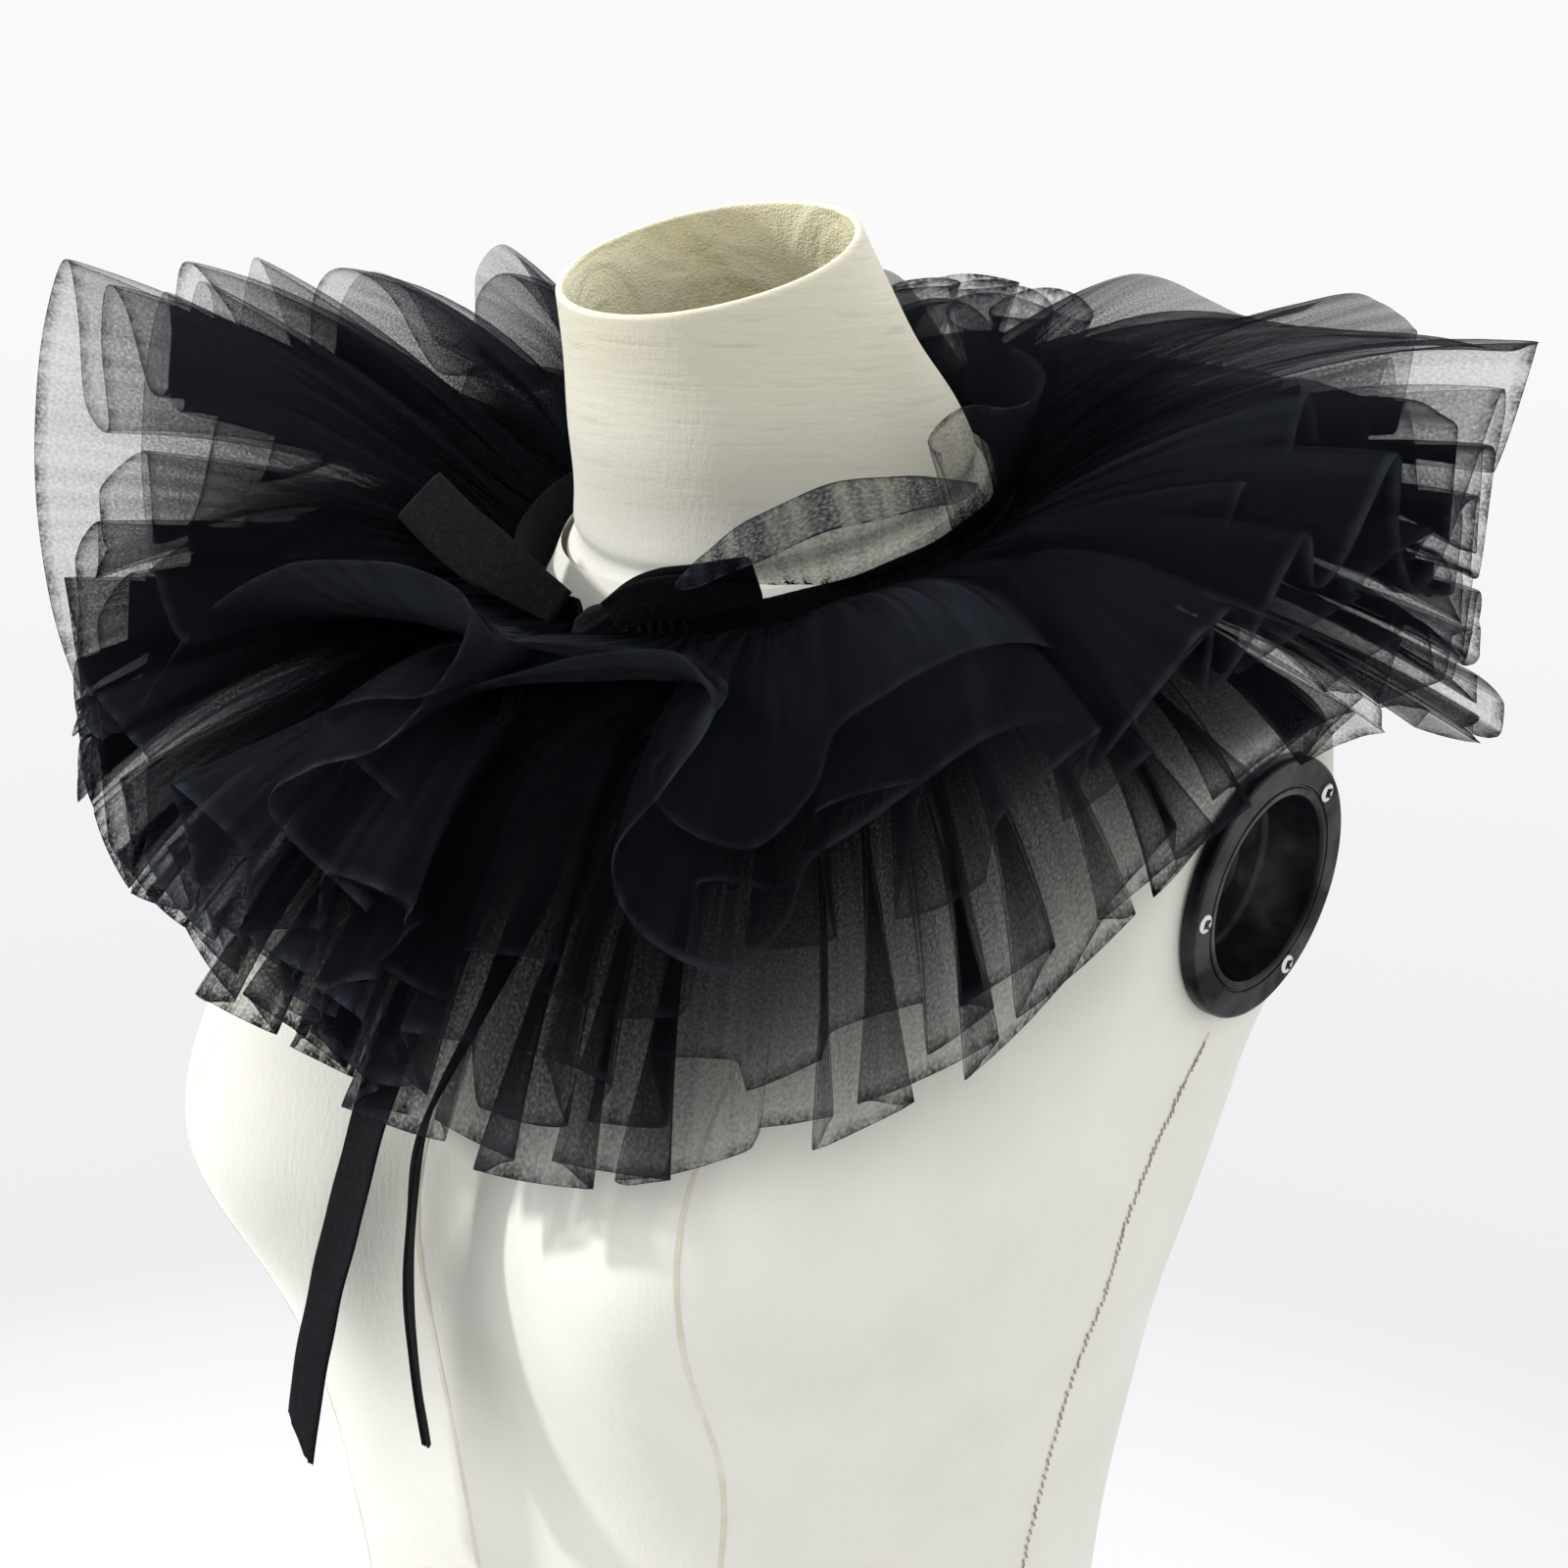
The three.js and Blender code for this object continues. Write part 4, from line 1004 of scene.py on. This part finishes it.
def front_loop(columns=260):
    """One sheer loop of the frill: up from the band, over its crest and a little way down outside."""
    lower, upper = smooth_path(FRONT_LOOP_LOWER, columns), smooth_path(FRONT_LOOP_UPPER, columns)
    share = np.linspace(0, 1, columns)[:, None]
    rows = []
    for v in np.linspace(0, 1, 22):
        row = lerp(lower, upper, v)
        row[:, 1] += 5.0 * math.sin(math.pi * v)
        rows.append(row)
    hang = 13 * np.sin(math.pi * np.clip(share[:, 0] * 1.05, 0, 1)) ** 0.7
    for v in np.linspace(0, 1, 14)[1:]:
        row = upper.copy()
        row[:, 1] += 1.6 * math.sin(math.pi * min(1, 3 * v) / 2) + 2.5 * v
        row[:, 2] -= hang * v
        rows.append(row)
    curve = np.stack(rows, axis=1)
    wobble = 0.7 * np.sin(26 * share + 5 * np.linspace(0, 1, curve.shape[1])[None, :])
    points = neckline_point(curve[..., 0], curve[..., 1] + wobble, curve[..., 2])
    v = np.linspace(0, 52, curve.shape[1])[None, :] * np.ones_like(share)
    cloth = np.stack([share * 105 * np.ones_like(v), v], axis=-1)
    obj = grid_object("heading_frill_front_loop", points, cloth)
    crowd = 0.3 + 0.16 * smoothstep(v, 30, 33) + 0.4 * smoothstep(v, 50.5, 52)
    crowd = crowd + 0.3 * (1 - smoothstep(v, 0, 5))
    # Painted highlight: crest lightens the net's colour over the loop's crest and its turned-over part.
    return shade_net(obj, crowding=crowd, crest=0.7 * smoothstep(v, 22, 36))


# ---- the band and its bow

BOW_WALL = 1.6
# A route's row is a point in millimetres and the direction across the strip there.
BOW_LOOPS = {
    "right": {
        "root_width": 12, "width": 20, "half_depth": 3.4,
        "route": [
            (-9.6, -80.8, 522.1, 0.3, 0.45, 0.84),
            (-30, -84, 531.3, 0.39, 0.54, 0.75),
            (-54, -82, 540.3, 0.39, 0.54, 0.75),
            (-78, -78, 551.4, 0.39, 0.54, 0.75),
        ],
    },
    "left": {
        "root_width": 11, "width": 16, "half_depth": 3.4,
        "route": [
            (9.6, -80, 522, 0.1, -0.3, 0.95),
            (24, -79, 529.8, 0.15, -0.36, 0.92),
            (41.5, -72.8, 533.8, 0.15, -0.38, 0.92),
            (55.5, -64.5, 538.2, 0.15, -0.38, 0.92),
        ],
    },
}
BOW_TAILS = {
    "right": {
        "root_width": 7, "width": 22, "cut": 7, "seed": 5,
        "route": [
            (-5, -70.6, 501.9, 1, 0, 0),
            (-5, -77, 492, 1, 0, 0),
            (-6, -99, 470, 1, 0, 0),
            (-8, -126, 440, 0.95, -0.2, 0),
            (-9, -148, 405, 0.95, -0.32, 0),
            (-19, -156, 366, 0.95, -0.32, 0),
            (-29, -158, 331, 0.95, -0.32, 0),
            (-41, -159, 290, 0.95, -0.32, 0),
            (-48, -159, 256, 0.95, -0.32, 0),
        ],
    },
    "left": {
        "root_width": 7, "width": 18, "cut": -4, "seed": 8,
        "route": [
            (5, -70.6, 501.9, 1, 0, 0),
            (5.5, -77, 492, 1, -0.1, 0),
            (9, -93, 470, 1, -0.2, 0),
            (12, -114, 440, 0.95, -0.3, 0),
            (9, -140, 402, 0.7, -0.75, 0),
            (-4, -148, 368, 0.62, -0.8, 0),
            (-8, -149, 335, 0.62, -0.8, 0),
            (-8, -149, 303, 0.66, -0.76, 0),
            (3, -152, 268, 0.72, -0.7, 0),
        ],
    },
}
# The knot's half sizes in millimetres, and its distance from the neckline's axis.
KNOT = {"half_width": 9.1, "half_depth": 9, "half_height": 11.5, "radius": 86}


def route_frames(route, shares):
    """Points along a strip's route with its across and face directions."""
    fine = smooth_path(route, 400)
    lengths = run_along(fine[:, :3])
    total = lengths[-1]

    def at_shares(values):
        return np.stack([np.interp(shares, lengths / total, line) for line in values.T], axis=-1)

    places, across = at_shares(fine[:, :3]), at_shares(fine[:, 3:])
    forward = unit(at_shares(np.gradient(fine[:, :3], axis=0)))
    face = unit(np.cross(forward, across))
    return places, forward, face, unit(np.cross(face, forward)), total


def cloth_grid(points, along, across):
    """Cloth coordinates of a strip: its length over the grid's columns, and its way round over the rows."""
    rows, columns = points.shape[:2]
    return np.stack(np.meshgrid(np.linspace(0, along, columns), np.linspace(0, across, rows)), axis=-1)


def bow_loop(side):
    """A strip that runs out from the knot, folds over softly and comes back."""
    loop = BOW_LOOPS[side]
    around = np.linspace(0, 2 * math.pi, 121)
    out_and_back = 0.5 - 0.5 * np.cos(around)
    run = np.clip(1.12 * out_and_back - 0.06, 0, 1)
    places, forward, face, across, length = route_frames(loop["route"], lerp(0.02, 0.96, run))
    plump = loop["half_depth"] * (0.55 + 0.45 * run)
    depth = np.sin(around) ** 3 * 0.35 + np.clip(np.tan(0.9 * np.sin(around)) / math.tan(0.9), -1, 1) * 0.65
    past = np.clip(np.cos(around - math.pi), 0, 1) ** 24 * 1.2
    centre = places + face * (depth * plump)[:, None] + forward * past[:, None]
    outwards = unit(np.cross(across, np.gradient(centre, axis=0)))
    half = 0.5 * lerp(loop["root_width"], loop["width"], np.clip(run * 2.2, 0, 1))
    section = []
    for turn in circle(28):
        wide = squared_off(math.cos(turn), 0.35)
        thick = math.sin(turn) * 0.5 * BOW_WALL
        crimp = 0.35 * np.sin(9 * wide + 2.0) * (1 - np.clip(run * 1.6, 0, 1))
        section.append(centre + across * (wide * half)[:, None] + outwards * (thick + crimp)[:, None])
    points = np.array(section)
    uvs = cloth_grid(points, 2 * length, 2 * loop["width"])
    return grid_object(f"bow_loop_{side}_cloth", points, uvs, wrap_rows=True)


def bow_tail(side):
    """A free end of the band: a soft strip with turned edges and a frayed, slanting cut."""
    tail = BOW_TAILS[side]
    columns = 220
    shares = np.linspace(0, 1, columns)
    places, forward, face, across, length = route_frames(tail["route"], shares)
    half = 0.5 * lerp(tail["root_width"], tail["width"], smoothstep(shares, 0.1, 0.4))
    draws = np.random.default_rng(tail["seed"])
    fray = draws.uniform(-0.9, 0.9, 40)
    section = []
    for turn in circle(40):
        wide = squared_off(math.cos(turn), 0.3)
        thick = math.sin(turn) * 0.5 * BOW_WALL * (1 + 0.35 * abs(wide) ** 6)
        curl = 0.9 * (wide**2) * np.sin(5 * shares + tail["seed"]) + 0.25 * np.sin(31 * shares + 3 * wide)
        edge = half * (1 + 0.02 * np.sin(60 * shares + 2 * wide))
        end = smoothstep(shares, 0.93, 1.0) * (tail["cut"] * wide * 0.5 + fray[int(20 + 19 * wide)])
        section.append(
            places + across * (wide * edge)[:, None] + face * (thick + curl)[:, None] + forward * end[:, None]
        )
    points = np.array(section)
    last = points.shape[0] * columns
    caps = [list(range(0, last, columns)), list(range(columns - 1, last, columns))[::-1]]
    faces = grid_faces(points.shape[0], columns, wrap_rows=True) + caps
    uvs = cloth_grid(points, length, 2 * tail["width"])
    return new_object(f"bow_tail_{side}_cloth", points.reshape(-1, 3), faces, uvs.reshape(-1, 2))


def bow_knot():
    """The band crossed over itself: a plump knot with pulled creases."""
    rows, columns = 60, 90
    lat = np.linspace(-0.5 * math.pi, 0.5 * math.pi, rows)[:, None]
    lon = circle(columns)[None, :]
    x = np.cos(lat) * np.sin(lon)
    y = -np.cos(lat) * np.cos(lon)
    z = np.sin(lat) * np.ones_like(lon)
    crease = 0.05 * np.sin(7 * z + 2.5 * x + 0.6) + 0.035 * np.sin(16 * z - 5 * x)
    size = 0.985 + crease * np.cos(lat) ** 0.5 - 0.05
    local = np.stack([x * KNOT["half_width"], y * KNOT["half_depth"], z * KNOT["half_height"]], axis=-1)
    local = local * size[..., None]
    centre = neckline_point(np.array(0.0), np.array(float(KNOT["radius"])), np.array(BAND["width"] / 2))
    tilted = local[..., 0:1] * np.array([1.0, 0, 0]) + local[..., 1:2] * NECKLINE_BACK
    tilted = tilted + local[..., 2:3] * NECKLINE_UP
    uvs = np.stack([lon * 9 * np.ones_like(lat), lat * 11 * np.ones_like(lon)], axis=-1)
    return grid_object("bow_knot_cloth", tilted + centre, uvs, wrap_columns=True)


def tie_band():
    """The folded jersey strip, rucked where the tulle is gathered into it."""
    columns, section = 720, 44
    share = np.linspace(0, 1, columns)[:, None]
    angle = lerp(BAND["open_half_angle"], 360 - BAND["open_half_angle"], share)
    turn = np.radians(angle)
    around = circle(section)[None, :]
    tall = squared_off(np.sin(around), 0.3)
    thick = np.cos(around)
    rise = BAND["width"] * (0.5 + 0.5 * tall) + 0.25 * np.sin(17 * turn)
    ruck = 0.45 * np.sin(130 * turn + 3 * np.sin(6 * turn) + 0.6 * tall) * (0.75 - 0.35 * tall)
    radius = NECKLINE["radius"] + 0.5 * BAND["thickness"] * (1 + thick) + ruck * (0.5 + 0.5 * thick)
    points = neckline_point(angle * np.ones_like(radius), radius, rise)
    run = turn * NECKLINE["radius"] * np.ones_like(around)
    uvs = np.stack([run, BAND["width"] * around / math.pi * np.ones_like(run)], axis=-1)
    caps = [list(range(section))[::-1], list(range((columns - 1) * section, columns * section))]
    faces = grid_faces(columns, section, wrap_columns=True) + caps
    return new_object("tie_band_cloth", points.reshape(-1, 3), faces, uvs.reshape(-1, 2))


# ---- the scene


# Angles in degrees, the target in millimetres, the distance in metres and the lens in millimetres.
CAMERA = {
    "azimuth": 38.68, "elevation": 13.19, "roll": 1.64, "target": (12.84, 4.42, 455.55), "distance": 1.0,
    "lens": 68.41, "sensor": 36.0,
}
# Name, place, target, size in metres and power in watts.
LIGHTS = [
    ("key", (-1.35, -1.15, 1.6), (0.0, 0.0, 0.45), 0.12, 34.0),
    ("top", (0.2, 0.5, 2.2), (0.0, 0.0, 0.5), 1.6, 14.0),
]
WORLD_LIGHT = 0.95
FLOOR_REACH = 9000


def build_camera():
    """The photo's viewing angle: from the wearer's left front, a little above the neckline."""
    azimuth, elevation, roll = (math.radians(CAMERA[name]) for name in ("azimuth", "elevation", "roll"))
    target = Vector(CAMERA["target"]) * MM
    back = Vector((
        math.sin(azimuth) * math.cos(elevation), -math.cos(azimuth) * math.cos(elevation), math.sin(elevation)
    ))
    level = Vector((math.cos(azimuth), math.sin(azimuth), 0))
    above = back.cross(level)
    right = level * math.cos(roll) + above * math.sin(roll)
    up = above * math.cos(roll) - level * math.sin(roll)
    camera = bpy.data.objects.new("camera", bpy.data.cameras.new("camera"))
    rotation = Matrix((right, up, back)).transposed().to_4x4()
    camera.matrix_world = Matrix.Translation(target + back * CAMERA["distance"]) @ rotation
    camera.data.sensor_width = CAMERA["sensor"]
    camera.data.lens = CAMERA["lens"]
    camera.data.clip_start = 0.05
    bpy.context.scene.collection.objects.link(camera)
    bpy.context.scene.camera = camera


def area_light(name, place, target, size, power):
    light = bpy.data.objects.new(name, bpy.data.lights.new(name, "AREA"))
    light.data.shape = "SQUARE"
    light.data.size = size
    light.data.energy = power
    direction = Vector(target) - Vector(place)
    light.matrix_world = Matrix.Translation(place) @ direction.to_track_quat("-Z", "Y").to_matrix().to_4x4()
    bpy.context.scene.collection.objects.link(light)


def build_studio():
    corners = [(x * FLOOR_REACH, y * FLOOR_REACH, 0) for x, y in ((-1, -1), (1, -1), (1, 1), (-1, 1))]
    floor = new_object("floor", corners, [(0, 1, 2, 3)], smooth=False)
    floor.data.materials.append(floor_material())
    world = bpy.data.worlds.new("studio")
    world.use_nodes = True
    background = world.node_tree.nodes["Background"]
    background.inputs["Color"].default_value = (1.0, 1.0, 1.0, 1.0)
    background.inputs["Strength"].default_value = WORLD_LIGHT
    bpy.context.scene.world = world
    for light in LIGHTS:
        area_light(*light)
    bpy.context.scene.view_settings.view_transform = "Standard"
    cycles = bpy.context.scene.cycles
    cycles.transparent_max_bounces = 10
    cycles.max_bounces = 2
    cycles.diffuse_bounces = 1
    cycles.glossy_bounces = 1


def main():
    build_camera()
    build_studio()
    jersey, plastic, steel = jersey_material(), plastic_material(), steel_material()
    band, tulle, thread, seam = band_material(), tulle_material(), thread_material(), seam_material()

    dress(form_torso_skin(), "jersey", [jersey], "form_torso")
    for name, way in SEAMS.items():
        dress(seam_welt(f"seam_{name}", way), "jersey", [seam])
        if name.endswith("_side"):
            dress(overlock_stitches(f"stitches_{name}", way), "jersey", [thread])
    dress(form_neck_skin(), "jersey", [jersey, lining_material()], "form_neck")
    for side, word in ((1, "left"), (-1, "right")):
        node = f"arm_plate_{word}"
        dress(arm_plate(side, f"{node}_ring"), "plate", [plastic], node)
        dress(plate_screws(side, f"{node}_screws"), "plate", [steel])
        # Black crosses on the screw heads: painted shade in their recesses.
        dress(screw_recess_shade(side, f"{node}_screw_recess_shade"), "plate", [plastic])

    for row in COURSES:
        course = dict(zip(COURSE_COLUMNS, row))
        sheet = dress(tulle_course(course), "tulle", [tulle], course["node"])
    for name, (share, shift, above, strip) in TOP_STRIPS.items():
        top = dress(top_folds(name, share, shift, above), "tulle", [tulle], "tulle_tier_4_top")
    frill = dress(heading_frill(), "tulle", [tulle], "heading_frill")
    loop = dress(front_loop(), "tulle", [tulle])

    strip = dress(tie_band(), "band", [band], "tie_band")
    knot = dress(bow_knot(), "band", [band], "bow_knot")
    for side in ("right", "left"):
        bow = dress(bow_loop(side), "band", [band], f"bow_loop_{side}")
        tail = dress(bow_tail(side), "band", [band], f"bow_tail_{side}")


main()
